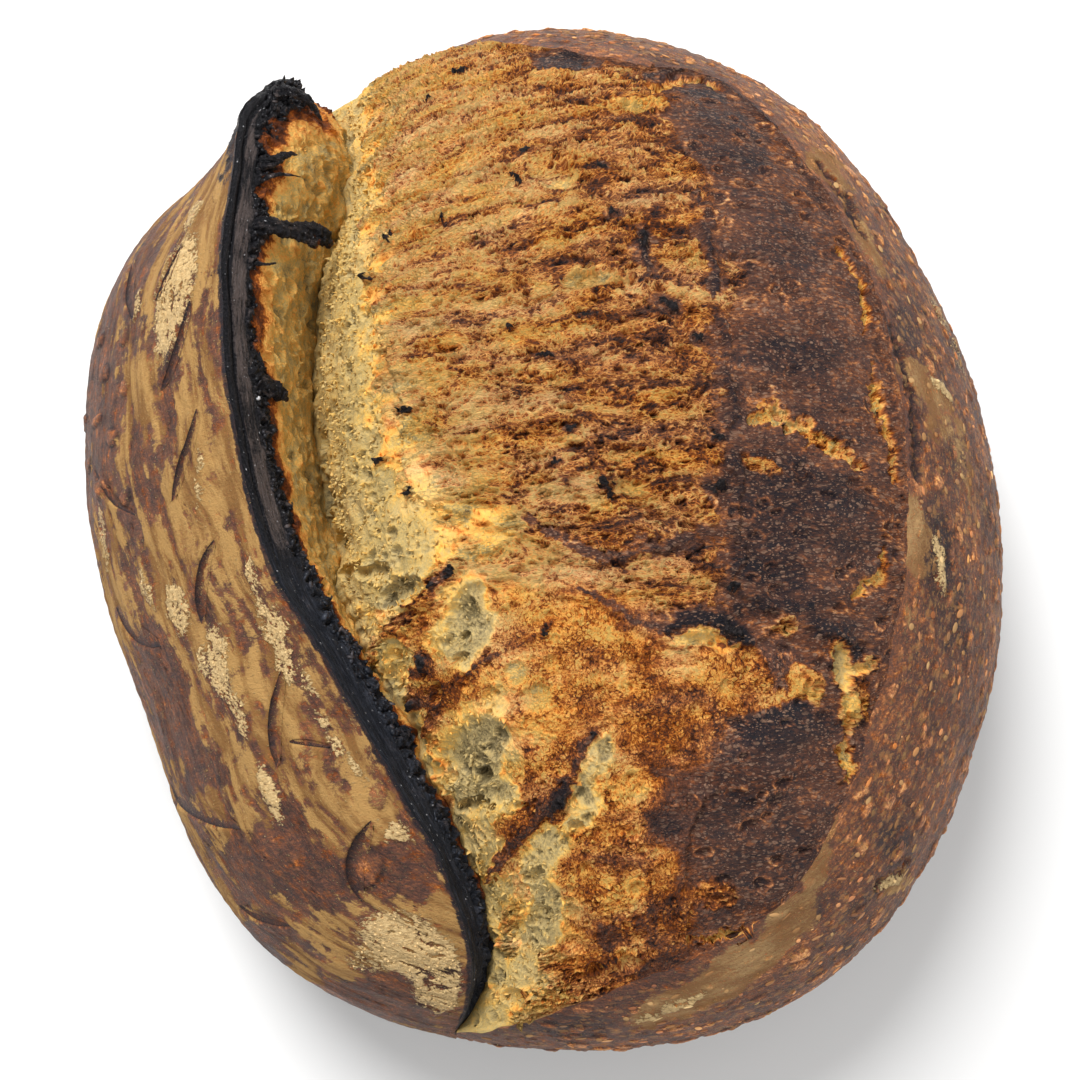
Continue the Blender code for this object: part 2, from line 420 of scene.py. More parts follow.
# Patches on the bloom: x, y, half sizes, turn, bake (0 crumb to 1 burnt), strength
BAKED = (
    (6, 92, 7, 5, -6, 0.95, 0.9), (26, 94, 14, 5, -8, 0.68, 0.8), (-8, 96, 12, 4, 6, 0.62, 0.6),
    (42, 70, 9, 12, 15, 0.9, 0.8), (38, 84, 5, 3, 0, 0.96, 0.8), (52, 44, 8, 14, 8, 0.82, 0.7),
    (56, 62, 4, 14, 14, 0.68, 0.8), (52, 16, 12, 4, 8, 0.95, 0.8), (54, -12, 13, 6, -10, 0.97, 0.8),
    (46, -24, 9, 10, 0, 0.96, 0.8), (62, -22, 9, 9, 0, 0.86, 0.8), (34, 32, 9, 7, -10, 0.5, 0.8),
    (33, 54, 5, 8, 10, 0.55, 0.7), (13, 10, 14, 4, -4, 0.64, 0.6), (14, 36, 10, 3, 8, 0.6, 0.7),
    (20, 20, 8, 7, 0, 0.64, 0.7), (8, -4, 16, 3, -2, 0.62, 0.7), (30, 6, 8, 12, 0, 0.6, 0.6),
    (4, 56, 6, 5, -30, 0.33, 0.9), (11, 30, 6, 2.4, 10, 0.33, 1), (19, 29, 3, 2, 0, 0.36, 1),
    (10, -13, 4, 2.6, 0, 0.38, 0.9), (18, -14, 5, 2.2, -8, 0.36, 0.9), (44, -8, 4, 1.8, 0, 0.45, 1),
    (22, 76, 7, 2.4, 8, 0.3, 0.9), (12, 82, 8, 2, -4, 0.62, 0.8), (-6, 70, 10, 3, 12, 0.36, 0.7),
    (-20, 8, 6, 2.5, 10, 0.34, 0.8), (-12, 52, 10, 5, 15, 0.38, 0.7), (22, -23, 8, 3, 8, 0.42, 0.6),
    (2, -17, 12, 3, 4, 0.34, 0.7), (-10, -21, 8, 4, -8, 0.24, 0.8),
    (14, -22, 14, 2.4, -18, 0.62, 0.8), (34, -24, 7, 2.6, 24, 0.64, 0.8),
    (22, -33, 12, 4, -4, 0.46, 0.9), (0, -30, 10, 5, 10, 0.36, 0.7),
    # round the black glossy rim and the golden opening below it
    (38.5, -41, 3.6, 1.9, -20, 1, 1), (33, -43.2, 9, 1.7, -4, 0.14, 1),
    (30, -48.5, 6, 4, 0, 0.38, 0.9), (40, -51, 7, 6, -30, 0.46, 0.9),
    (48, -55.5, 6, 2.6, 12, 0.33, 1), (53, -51, 3.4, 3.4, 0, 0.36, 0.9),
    (46.5, -40.5, 9, 5, -10, 0.72, 0.9), (49.5, -40, 2.4, 2.2, 0, 0.56, 0.9),
    (61, -47, 2.6, 5.6, 8, 0.1, 1), (66, -46.5, 3, 1.4, 20, 0.16, 1),
    (65.5, -52, 1.8, 4, 0, 0.46, 0.9), (62, -56, 1.8, 4, 0, 0.2, 1), (50, -59, 12, 4.4, 6, 0.97, 1),
    (30, -61, 8, 6, 0, 0.62, 0.9), (46, -76, 14, 16, 6, 0.84, 0.9), (58, -72, 7, 12, 10, 0.72, 0.6),
    (27, -69.5, 7, 1.4, -8, 0.74, 0.9), (29, -62, 6, 6, 0, 0.6, 0.7),
    # the netting and its pockets
    (-12.8, -40.6, 4.6, 8.4, -14, 0.07, 1), (-27.8, -45.4, 2.6, 5.4, 0, 0.16, 0.9),
    (-24, -40, 4, 4, 40, 0.38, 0.9), (-26, -32.6, 5.6, 3, 0, 0.05, 1),
    (-31, -35.6, 6, 2, -24, 0.17, 1), (-20, -37, 1.8, 4.4, -8, 0.52, 0.9),
    (-22.5, -47, 2.6, 3.2, -30, 0.62, 0.9), (-23, -52.6, 5, 2, -10, 0.68, 0.9),
    (-18, -47.5, 2.4, 3, 20, 0.34, 0.9), (-19.6, -52.2, 1.4, 2.4, 0, 0.5, 1),
    (-14, -52.5, 5, 2.6, 30, 0.56, 0.9), (-3.6, -49.9, 2.5, 2.5, 0, 0.28, 0.8),
    (0.3, -54.6, 3.8, 3, 20, 0.28, 0.8), (-7.4, -54.8, 3, 3.2, 0, 0.24, 0.9),
    (3, -44, 7, 4, 0, 0.44, 0.8), (12, -48, 9, 8, 10, 0.47, 0.8), (18, -60, 6, 5, 0, 0.56, 0.7),
    (-18, -59, 3.4, 4, 0, 0.46, 0.8), (-10.8, -66.5, 9.2, 9, 0, 0.06, 1),
    (-1.6, -65.4, 5.6, 3.6, 30, 0.36, 0.9), (3, -60, 5, 3, 20, 0.36, 0.8),
    (-18.4, -69, 2, 6, 4, 0.24, 0.9), (-8.9, -76.6, 7, 1.5, 4, 0.14, 1),
    (4, -67, 3, 8, -32, 0.5, 0.9), (-3, -77, 5, 2.4, 36, 0.55, 0.9),
    (12.6, -66, 3.4, 5, -24, 0.12, 1), (8.4, -75, 3.8, 5.4, -20, 0.1, 1),
    (17, -70, 4.4, 4, 0, 0.36, 0.9), (18, -77, 5, 3, 10, 0.42, 0.8), (2, -84, 4, 6, -10, 0.08, 1),
    (13, -86, 8, 6, 0, 0.54, 0.9), (1, -95, 5, 7, 0, 0.08, 1), (-3, -90, 1.6, 7, 6, 0.36, 0.8),
    (8, -91, 2.4, 4, 0, 0.4, 0.8), (18, -90, 4, 4, 0, 0.36, 0.8), (14, -98, 3, 2.4, 0, 0.78, 0.9),
    (20, -103, 5, 3, 0, 0.42, 0.8), (-4, -106, 6, 4, 6, 0.1, 1), (6, -103, 4, 3, 0, 0.48, 0.9),
    (-9, -111, 4, 2, 20, 0.2, 1), (12, -106, 6, 4, 0, 0.56, 0.8), (-5, -99, 2, 6, 0, 0.4, 0.7),
    (24, -77, 4.5, 2.4, 0, 0.88, 0.9), (36, -91, 5, 2.4, 0, 0.5, 0.7),
    (26, -105, 4, 3, 0, 0.82, 0.8), (36, -106, 16, 4, 14, 0.68, 0.8),
    (12, -115, 5, 2.5, 0, 0.52, 0.8), (28, -94, 5, 6, 0, 0.58, 0.8), (24, -86, 4, 4, 0, 0.5, 0.8),
)

# Where the webbing is round netting rather than strands: the same, with how much
NETTED = (
    (4, -46, 24, 13, -10, 1, 1), (8, -76, 22, 18, 10, 1, 1), (30, -59, 13, 9, 0, 1, 1),
    (20, -96, 16, 14, 0, 1, 1), (42, -51, 12, 8, 0, 1, 1), (-16, -50, 12, 12, 0, 1, 1),
)

# Chains of points: bake, half width, how far it stands out, then the points
CHAINS = (
    # pale crumb in the cracks
    (0.24, 2, -1.5, ((43, 0.6), (48, 2.2), (53, 1), (58, -1.5), (62, -3))),
    (0.28, 1.2, -1.4, ((61, -2.6), (65, -5.5), (68, -6))),
    (0.3, 0.9, -1.4, ((65, 45), (68, 40), (70, 36), (70.5, 28), (69, 24))),
    (0.22, 1.2, -1.6, ((71, 18), (71, 10), (73, 5), (74, 1), (74, -5), (75.5, -9))),
    (0.3, 1, -1.2, ((62, -34), (66, -30.5), (70, -28), (71, -22))),
    (0.2, 1.2, -1.6, ((62, -56), (62.4, -61), (62, -65), (62.8, -69))),
    (0.28, 0.9, -1.4, ((30, -100), (38, -99), (44, -97), (50, -99))),
    (0.26, 1.8, -1.4, ((26, 81), (28, 85), (33, 88.5), (38, 89.6), (42, 88))),
    # the wall of toasted dough round the pockets
    (0.5, 1.3, 0.5,
     ((-16, -30), (-19, -32.4), (-20.5, -34.5), (-25.9, -37.3), (-30.7, -39.6), (-34, -43))),
    (0.54, 1.5, 0.4, ((-14, -49.6), (-17, -52), (-20, -55), (-22, -59))),
    # dark strands and charred rims
    (0.6, 0.6, 0.4, ((-13.3, -49.4), (-10.5, -48), (-7.9, -46.6), (-5, -45.2))),
    (0.56, 0.5, 0.3, ((-5, -45.2), (-0.2, -42.9), (3, -40.5))),
    (0.9, 1.3, 0.5, ((24, 87), (30, 91.5), (37, 93.5), (43, 91), (49, 85), (54, 77))),
    (0.72, 0.8, 0.7, ((11, -61), (9.4, -64), (8, -66.5), (6.4, -69))),
    (0.84, 1.5, 1, ((6.6, -69), (4.6, -72.8), (3, -75), (0.6, -77))),
    (0.64, 1.1, 0.6, ((1.6, -76), (-2.1, -79.4), (-6, -83), (-9.5, -88))),
    (0.84, 0.7, 0.6, ((23, 43), (22, 37), (24, 33))),
    (0.84, 0.9, 0.8, ((34, 54), (36, 48), (35.5, 40), (37, 33), (36, 27))),
    (0.88, 1, 0.8, ((37, 24), (39, 18), (37.5, 12), (39.5, 5), (38, -1))),
    (0.88, 1.1, 0.9, ((38, -6), (40, -12), (38.5, -18), (40, -25), (38, -31))),
    (0.7, 0.9, 0.4, ((-2, -20), (5, -24), (11, -27), (18, -27.6), (26, -25), (33, -22), (38, -23))),
    (0.72, 0.7, 0.3, ((8, -34), (14, -36.5), (20, -40), (27, -43))),
    (0.98, 1.5, 0.6, ((25, -42), (29, -39.6), (32, -38.8), (36, -40), (42, -43.4))),
    (0.94, 1.3, 0.4,
     ((38, -37.4), (45, -35.4), (53, -36.6), (56.4, -39.7), (61, -41), (65, -44.4))),
    (0.62, 1.6, 0.4, ((58, 72), (66, 56), (71, 44))),
    (0.6, 1.6, 0.4, ((73, 30), (76, 16), (77, -2), (76, -18), (72, -38), (66, -62))),
)

# Edges of torn layers; the layer on the left of each chain, as it runs, stands higher
LEDGES = (
    (1.1,
     ((-26, 66), (-30, 56), (-30, 42), (-35, 33), (-32, 20), (-26, 3), (-25, -13), (-13, -20),
      (-2, -24), (10, -29), (19, -28), (28, -26), (34, -31), (40, -34))),
    (0.8, ((2, -35), (12, -37), (20, -42), (27, -45))),
    (0.9, ((30, -42), (41, -44), (49, -40), (58, -41), (66, -44))),
    (-1, ((26, -70), (35, -70), (31, -76), (29, -86), (30, -97))),
    (0.8, ((30, 33), (44, 38), (52, 34), (56, 30))),
)
LEDGE_REACH = 40           # how far from its torn edge a layer sinks

# Burnt flecks: x, y, half sizes, turn
FLECKS = (
    (14, -14, 1, 3, 24), (7, -2, 1, 0.9, 0), (4, -9, 1.8, 0.8, 0), (-5, 19, 0.9, 1.1, 0),
    (10, 22, 1.4, 0.7, 0), (-4, 54, 0.8, 2.6, 40), (14, 58, 1.3, 0.7, -30), (27, 25, 2.4, 1.2, -30),
    (-30, 41, 0.7, 1.7, 0), (-34, 33, 1.8, 0.6, -30), (-25.5, 2, 1.9, 0.8, -20),
    (-25, -14, 1.1, 0.8, 0), (-31, -6, 1.4, 0.8, 0), (-16, -30.4, 0.9, 1.7, -20),
    (-19.4, -32.4, 1.2, 0.8, 0), (-19, 44, 0.5, 1.7, 10), (2, 13, 2, 0.7, 0),
    (-24, 80, 1.2, 0.6, 0), (-2, 61, 1.7, 0.7, 20), (36, -13, 2, 1.2, 30), (33, 18, 1.1, 1.1, 0),
    (22, 39, 0.7, 2.4, 6), (36, -3, 1.5, 0.9, 0), (38, -33, 1.7, 0.8, -20), (-17, 90, 2.2, 0.7, 10),
    (38, -41.4, 2.6, 1.3, -20), (-22.6, -46.4, 1.3, 1.8, -20), (1.8, -42, 0.7, 1.3, -30),
    (4.6, -73.6, 1.2, 2.2, -30), (-25.6, -53.4, 1.6, 0.9, 0), (11, -60.8, 0.7, 1.1, -30),
    (16, 46, 1.2, 0.6, 10),
)

# Open bubbles on the bloom: x, y, half sizes, turn, depth
BUBBLES = (
    (4, 56, 5.5, 4.2, -30, 1.6), (-1, 50, 4.5, 2.6, 10, 0.7), (11, 30, 6, 2.2, 10, 1.8),
    (19, 29, 2.8, 1.8, 0, 1.6), (10, -13, 3.6, 2.6, 0, 1.3), (18, -14, 4.6, 2, -8, 1.3),
    (44, -8, 3.6, 1.6, 0, 0.8), (40, 36, 4.5, 2.2, -10, 0.7), (-12, 37, 3.6, 1.4, 10, 0.9),
    (-4, 33, 2.6, 1.4, 0, 0.9), (0, 27, 5, 1.8, 6, 0.8), (6, 8, 4.6, 1.6, 6, 0.9),
    (22, 76, 4, 1.6, 8, 1), (24, 5, 4.4, 1.6, 0, 0.7), (-10, 24, 4, 2, 14, 0.8),
    (-12.6, -40.6, 4.4, 8.2, -14, 1.6), (-13, -37.8, 2.1, 2.3, 0, 1.3),
    (-14, -42.9, 1.2, 1.1, 0, 1.2), (-14.7, -46.6, 1.5, 1, 0, 1.2), (-17, -42.9, 0.7, 1, 0, 1),
    (-27.8, -45.4, 2.5, 5.2, 0, 1.2), (-28.3, -43.4, 1.5, 1.4, 0, 1.1),
    (-27.1, -49.9, 1.5, 1.3, 0, 1.3), (-19.6, -52.2, 1.3, 2.2, 0, 1.6),
    (-26, -32.6, 5.2, 2.7, 0, 1.6), (-3.6, -49.9, 2.4, 2.4, 0, 0.7),
    (0.3, -54.6, 3.6, 2.8, 20, 0.8), (-7.4, -54.8, 2.8, 3, 0, 0.7), (-8.4, -53.7, 1.4, 1.3, 0, 0.9),
    (-8.9, -57.2, 1.2, 0.9, 0, 0.9), (-10.8, -66.5, 9.2, 9, 0, 1.5), (-11.1, -68.6, 2, 1.8, 0, 2.2),
    (-8.4, -63.9, 1.5, 2.4, 0, 0.8), (-13, -73.6, 3.4, 1.2, 0, 1.6), (-3.1, -74.2, 2, 0.9, 10, 1.3),
    (8.1, -78.4, 1.5, 1.4, 0, 1.5), (7.1, -73.3, 1.2, 1.1, 0, 1.2), (0, -87, 2.4, 1.8, 0, 1.4),
    (1, -95, 2.6, 2.2, 0, 1.3), (-4, -111, 2.6, 2, 0, 1.2), (12, -87, 3.6, 3.2, 0, 0.5),
    (19, -88, 2.4, 3.4, 0, 0.5), (19, -104, 3.2, 1.6, 0, 1.2), (12, -105, 1.6, 1.2, 0, 1.3),
    (53.6, -51.6, 0.9, 1.6, 0, 1.4), (55.6, -51.2, 0.8, 1.5, 10, 1.4), (52, -54, 1.2, 0.9, 20, 1.2),
    (61, -47, 2.3, 5.2, 8, 1.8), (66, -46.5, 2.6, 1.1, 20, 1.4), (33, -43.4, 8, 1.4, -4, 0.9),
    (42, -46.6, 2, 1.6, 0, 0.8),
)

# Deep slots in the crevice's crumb: x, y, half sizes, turn, depth
SLOTS = (
    (-47, 6, 1.3, 4, 6, 3), (-46.5, -7, 1.5, 6.5, -4, 3.4), (-42.5, -16, 1.2, 2.6, 0, 3),
    (-43.5, -19, 0.7, 1.8, 0, 3), (-40, -24, 3, 1.4, -20, 3), (-33, -27, 4.5, 1.6, -14, 2.4),
    (-47, 58, 2.2, 3, -20, 2), (-50, 40, 1.6, 4, 0, 2.2), (-51, 24, 1.4, 4, 0, 2.2),
)

# How much flour is left in places on the left side: x, y, half sizes, turn, flour, strength
BARE = (
    (-25, -86, 8, 6, 0, 0, 1), (-50, -86, 16, 7, -6, 0, 1), (-80, -48, 8, 12, 20, 0.05, 0.9),
    (-68, -65, 6, 6, 0, 0.1, 0.8), (-34, -112, 22, 5, 14, 0, 1), (-100, 10, 9, 28, 0, 0.08, 0.9),
    (-92, 46, 8, 18, -24, 0.1, 0.8), (-84, -6, 5, 12, 0, 0.12, 0.7),
    (-60, -54, 2.4, 8, 16, 0.15, 0.8), (-74, -60, 4, 12, 18, 0.05, 0.7),
    (-46, -62, 1.8, 7, 10, 0.15, 0.8), (-60, -102, 9, 5, 20, 0, 0.8),
    (-66, 74, 12, 4, 40, 0.1, 0.8), (-48, -76, 5, 4, 0, 0.2, 0.7),
    (-39, -70, 1.6, 6, 24, 0.15, 0.8), (-72, 0, 3, 12, -6, 0.75, 0.7),
    (-76, 8, 1.8, 16, -6, 0.1, 0.8), (-72, 34, 1.4, 12, -12, 0.2, 0.7),
    (-66, -12, 4, 16, 6, 0.8, 0.8), (-70, 50, 5, 16, -16, 0.85, 0.9),
    (-58, -52, 2.4, 12, 24, 0.8, 0.6), (-44, -76, 3, 8, 20, 0.75, 0.7),
    (-33, -74, 5, 8, 24, 0.85, 0.9), (-42, -97, 8, 4, 0, 0.7, 0.7), (-94, -24, 3, 14, 14, 0.8, 0.8),
    (-80, 22, 4, 18, -8, 0.6, 0.7), (-17, -92, 3, 8, 14, 0.7, 0.8), (-50, -54, 3, 9, 22, 0.85, 0.8),
    (-64, -70, 2, 6, 20, 0.5, 0.6), (-84, 52, 3, 14, -26, 0.6, 0.6),
)
# Thick flour: x, y, half sizes, turn, cover
FLOUR_CAKES = (
    (-76, 33, 4.6, 14, -8, 1), (-74, 52, 2, 5, -16, 0.7), (-87, 34, 1.2, 4.5, -10, 0.8),
    (-25, -101, 11, 6, -24, 1), (-19, -108, 6, 6, 0, 0.95), (-33, -103, 5, 3, 0, 0.6),
    (-42, -57, 2, 1.6, -30, 0.9), (-39, -63, 1.2, 4, 24, 0.7), (-53, -71, 1.8, 6, 20, 0.9),
    (-27, -79, 3.4, 1.6, 0, 0.8), (-53, -38, 2.6, 6, 24, 0.95), (-50, -46, 1.6, 5, 20, 0.8),
    (-64, -45, 2.4, 8, 14, 0.85), (-60, -55, 1.4, 6, 20, 0.7), (-74, -33, 2.6, 6, 16, 0.9),
    (-82, -28, 1.6, 5, 20, 0.6), (-69, -8, 0.9, 7, 0, 0.55), (-95, -14, 1.2, 8, 8, 0.6),
    (-57, -28, 1.4, 5, 14, 0.7), (-68, -44, 1.4, 4, 10, 0.6), (-45, -50, 0.8, 4, 30, 0.6),
    (-35, -67, 0.9, 5, 28, 0.6), (-33, -52, 0.8, 5, 34, 0.5),
)
# Score cuts: width, the share painted dark as shade below the lip, points along the sharp side, which
# stands higher
SCORES = (
    (1.6, 0.8, ((-76, 45), (-78.5, 39.7), (-81.5, 33))),
    (2, 0.8, ((-72.3, 29.8), (-74.4, 23.1), (-76.6, 17.2), (-78.7, 12.3))),
    (2.2, 0.3, ((-69.7, 6.2), (-71.7, 0.3), (-74, -5.4), (-75.4, -11.6))),
    (2.6, 0.15, ((-65.5, -20.6), (-68.3, -24.6), (-69.5, -30), (-69.3, -33.6), (-68.4, -36.8))),
    (2.6, 0.15, ((-50.8, -47.6), (-52.2, -52.3), (-53, -56.9), (-52.8, -61.8), (-51.5, -66.1))),
    (3.4, 0.12, ((-32.4, -76.7), (-35.4, -80.2), (-37.2, -84.4), (-36.8, -88.6), (-34.6, -92.2))),
    (3, 0.15, ((-92.9, -28.7), (-90, -33.3), (-86.2, -37.1), (-82.2, -39.2), (-78.7, -39.8))),
    (3, 0.15, ((-80.3, -66.5), (-77.8, -70.6), (-73.7, -73.5), (-66.5, -76.5), (-60.2, -77.7))),
    (0.8, 0.6, ((-48.8, -61.3), (-44.6, -61.9), (-40.6, -62.5))),
    (1.6, 0.8, ((-62.6, -93), (-59.7, -94.8), (-57.2, -95.8), (-53.8, -96.6), (-50.5, -97))),
    (2.4, 0.15, ((-91.8, 48.6), (-91.5, 43), (-90.8, 37.8), (-87.9, 30.8))),
    (1.2, 0.5, ((-98.4, 1.6), (-92, -7.4), (-85, -12.4))),
)
CUT_ROWS = 11
CUT_COLUMNS = 49
CUT_REACH = 14             # how far from a cut the skin lifts

FLANK_BAKE = 0.72          # the bare crust where the two skins meet
SEAM_REACH = 26            # mm over which the two skins grow alike
# Burst blisters on the floured side: x, y, half sizes, turn
OLD_BLISTERS = (
    (-96, 22, 1.6, 2.2, 0), (-98, 12, 2, 1.4, 0), (-92, 6, 1.5, 2.2, 20), (-101, 4, 1.2, 1.8, 0),
    (-89, 16, 1.4, 1.8, 0), (-95, -4, 1.8, 2.4, 0), (-88, -8, 1.5, 1.8, 0), (-104, 16, 1.6, 1.6, 0),
    (-90, 28, 1.2, 2, -10), (-99, 32, 1.4, 1.8, 0), (-33, -86, 2.6, 3.6, -20),
    (-31, -72, 2, 2.6, 0),
)
# The right side: dusted patches, thick flour and dark patches
DUSTED = (
    (66, 68, 5, 7, 34, 0.8, 0.9), (72, 50, 3, 9, 24, 0.6, 0.8), (82, 16, 5, 4, -40, 0.85, 0.9),
    (88, 8, 7, 7, 10, 0.6, 0.8), (94, -6, 5, 8, 0, 0.45, 0.7), (78, -20, 4.6, 9, 4, 0.9, 1),
    (76, -34, 2, 6, 0, 0.5, 0.8), (56, -82, 4, 10, -16, 0.85, 0.9), (50, -98, 9, 4, 42, 0.8, 0.9),
    (38, -107, 12, 4, 28, 0.85, 1), (26, -114, 9, 3, 20, 0.7, 0.9), (76, -88, 5, 1.6, 30, 0.7, 0.8),
    (58, 76, 5, 3, -40, 0.4, 0.7), (20, 108, 20, 4, 0, 0.3, 0.6),
)
RIGHT_CAKES = (
    (88, 16, 3.4, 1.2, -36, 0.9), (84, -24, 1.2, 7, 6, 0.8), (30, -112, 5, 1.1, 22, 0.9),
    (23, -115.5, 3, 0.9, 16, 0.8), (74, -88, 4, 1, 24, 0.8), (92, 38, 2, 5, 20, 0.45),
    (96, 28, 2, 6, 14, 0.4),
)
RIGHT_DARK = (
    (-43, 99.5, 9, 5, 30, 0.36, 1), (84, -22, 4, 9, 0, 0.92, 0.8), (86, -36, 5, 6, 0, 0.84, 0.7),
    (80, 28, 4, 9, 10, 0.84, 0.8), (90, 2, 5, 8, 0, 0.82, 0.6), (74, -80, 5, 4, 0, 0.88, 0.7),
    (60, -66, 5, 12, -14, 0.62, 0.7), (72, -46, 4, 16, -4, 0.62, 0.7),
    (30, 112, 24, 5, -4, 0.6, 0.7), (70, 76, 12, 8, -40, 0.58, 0.7), (52, 92, 10, 6, -30, 0.6, 0.6),
    (0, -117, 20, 2.5, 0, 0.82, 0.8), (30, -105, 12, 4, 10, 0.72, 0.5),
)
# Chains on the right side, written as the bloom's are
RIGHT_CHAINS = (
    (0.86, 1.1, -0.9, ((63, 70), (68, 62), (73, 50))),
    (0.88, 1, -0.9, ((74, 30), (78, 20), (80, 6), (79, -8))),
    (0.8, 0.8, -0.7, ((70, -89), (74, -87), (79, -83))),
)


# --- Meshes --------------------------------------

def outline_middle():
    """The middle of the outline's box, which the solid has over its origin."""
    ring = outline_point(np.linspace(0, 2 * math.pi, OUTLINE_STEPS))
    return np.append((ring.min(axis=0) + ring.max(axis=0)) / 2, 0.0)


MIDDLE = outline_middle()


def lattice_faces(rows, columns, first=0):
    index = first + np.arange(rows * columns).reshape(rows, columns)
    corners = (index[:-1, :-1], index[:-1, 1:], index[1:, 1:], index[1:, :-1])
    return np.stack(corners, axis=-1).reshape(-1, 4)


def border(rows, columns):
    """Row and column of each border point, once round."""
    top = [(0, c) for c in range(columns - 1)]
    right = [(r, columns - 1) for r in range(rows - 1)]
    bottom = [(rows - 1, c) for c in range(columns - 1, 0, -1)]
    left = [(r, 0) for r in range(rows - 1, 0, -1)]
    return np.array(top + right + bottom + left)


def kept_lines(count):
    """Every INNER_STEP-th line of a grid, and its last."""
    return np.unique(np.append(np.arange(0, count, INNER_STEP), count - 1))


def nearest_line(kept, place):
    later = np.minimum(np.searchsorted(kept, place), len(kept) - 1)
    earlier = np.maximum(later - 1, 0)
    return np.where(place - kept[earlier] < kept[later] - place, earlier, later)


def spots(rows, columns, heights):
    """Places on the bake map for a grid of points, between two heights of the map."""
    across, up = np.meshgrid(np.linspace(0, 1, columns), np.linspace(*heights, rows))
    return np.stack((across, up), axis=-1).reshape(-1, 2)


def shell(name, grid, thickness, values, material, normals=None):
    """A closed piece: a dense outer grid, a coarse inner wall, and a rim that joins them."""
    rows, columns = grid.shape[:2]
    normals = grid_normals(grid) if normals is None else normals
    keep = np.ix_(kept_lines(rows), kept_lines(columns))
    inner_rows, inner_columns = keep[0].size, keep[1].size
    inner = (grid - normals * np.broadcast_to(thickness, (rows, columns))[..., None])[keep]
    count = rows * columns
    points = np.concatenate((grid.reshape(-1, 3), inner.reshape(-1, 3))) - MIDDLE
    outer_faces = lattice_faces(rows, columns)
    inner_faces = lattice_faces(inner_rows, inner_columns)[:, ::-1]
    loop = border(rows, columns)
    ring = loop[:, 0] * columns + loop[:, 1]
    inner_ring = count + (nearest_line(kept_lines(rows), loop[:, 0]) * inner_columns
                          + nearest_line(kept_lines(columns), loop[:, 1]))
    following = np.roll(np.arange(len(loop)), -1)
    rim = np.stack((ring[following], ring, inner_ring, inner_ring[following]), axis=-1)
    wide = rim[:, 2] != rim[:, 3]
    rim_faces = [row if four else row[:3] for row, four in zip(rim.tolist(), wide)]
    faces = outer_faces.tolist() + (count + inner_faces).tolist() + rim_faces
    mesh = bpy.data.meshes.new(name)
    mesh.from_pydata(points.tolist(), [], faces)
    mesh.shade_smooth()
    turn = np.arange(len(loop)) / len(loop)
    rim_spots = np.stack((turn + 1 / len(loop), turn, turn, turn + 1 / len(loop)), axis=-1)
    rim_spots = np.stack((rim_spots, np.tile(RIM_SPOTS, (len(loop), 1))), axis=-1)
    used = np.ones((len(loop), 4), dtype=bool)
    used[~wide, 3] = False
    outer_spots = spots(rows, columns, OUTER_SPOTS)[outer_faces].reshape(-1, 2)
    inner_spots = spots(inner_rows, inner_columns, INNER_SPOTS)[inner_faces].reshape(-1, 2)
    flat = np.concatenate((outer_spots, inner_spots, rim_spots[used]))
    layer = mesh.uv_layers.new(name="OFBake")
    layer.data.foreach_set("uv", flat.astype(np.float32).ravel())
    for key, value in values.items():
        value = np.asarray(value)
        value = value[..., None] if value.ndim == 2 else value
        flat = np.concatenate([part.reshape(-1, value.shape[-1]) for part in (value, value[keep])])
        add_attribute(mesh, key, flat)
    all_normals = np.concatenate((normals.reshape(-1, 3), -normals[keep].reshape(-1, 3)))
    mesh.normals_split_custom_set_from_vertices(all_normals.tolist())
    return add_piece(name, mesh, material)


def shells(name, grid, thickness, values, material, rows=None, columns=None):
    """The same, cut into several pieces along rows or columns of the grid."""
    cuts = rows or columns
    normals = grid_normals(grid)
    thickness = np.broadcast_to(thickness, grid.shape[:2])
    made = []
    for number, (first, last) in enumerate(zip(cuts[:-1], cuts[1:])):
        kept = slice(first, last + 1)
        part = (kept, slice(None)) if rows else (slice(None), kept)
        chosen = {key: value[part] for key, value in values.items()}
        made.append(shell("%s_%d" % (name, number + 1), grid[part], thickness[part], chosen,
                          material, normals[part]))
    return made


def add_attribute(mesh, key, flat):
    """A number or a vector for each point."""
    kind, field = ("FLOAT", "value") if flat.shape[1] == 1 else ("FLOAT_VECTOR", "vector")
    layer = mesh.attributes.new(key, kind, "POINT")
    layer.data.foreach_set(field, flat.astype(np.float32).ravel())


def add_piece(name, mesh, material):
    mesh.materials.append(material)
    piece = bpy.data.objects.new(name, mesh)
    bpy.context.scene.collection.objects.link(piece)
    return piece


# --- Painting ------------------------------------

def wandered(plan, amount=1.6, scale=6.0, seed=50):
    """Plan points moved a little, so that a mark's edge is ragged."""
    flat = np.concatenate((plan, np.zeros(plan.shape[:-1] + (1,))), axis=-1)
    fine = noises(flat / (scale * 0.3), seed + 2)
    return plan + amount * (noises(flat / scale, seed) + 0.45 * fine)


def mix(a, b, share):
    return a + (b - a) * share


def painted(plan, marks, value, outer, inner):
    """A value painted over with marks, one after another, each soft between two reaches."""
    for mark in marks:
        value = mix(value, mark[5], mark[6] * ease(outer, inner, lens(plan, mark)))
    return value


def dusted(plan, marks, flour, usual):
    """Flour with more or less of it where the marks lie."""
    for mark in marks:
        flour = flour + 1.5 * mark[6] * (mark[5] - usual) * ease(1.4, 0.5, lens(plan, mark))
    return flour


def caked(plan, marks):
    """How thick the caked flour lies."""
    cake = np.zeros(plan.shape[:-1])
    for mark in marks:
        cake = np.maximum(cake, mark[5] * ease(1.25, 0.70, lens(plan, mark)))
    return cake


def bowl_shape(away):
    """A round bowl, 1 deep in its middle and 0 from its edge on."""
    return np.sqrt(np.clip(1 - away ** 2, 0, 1))


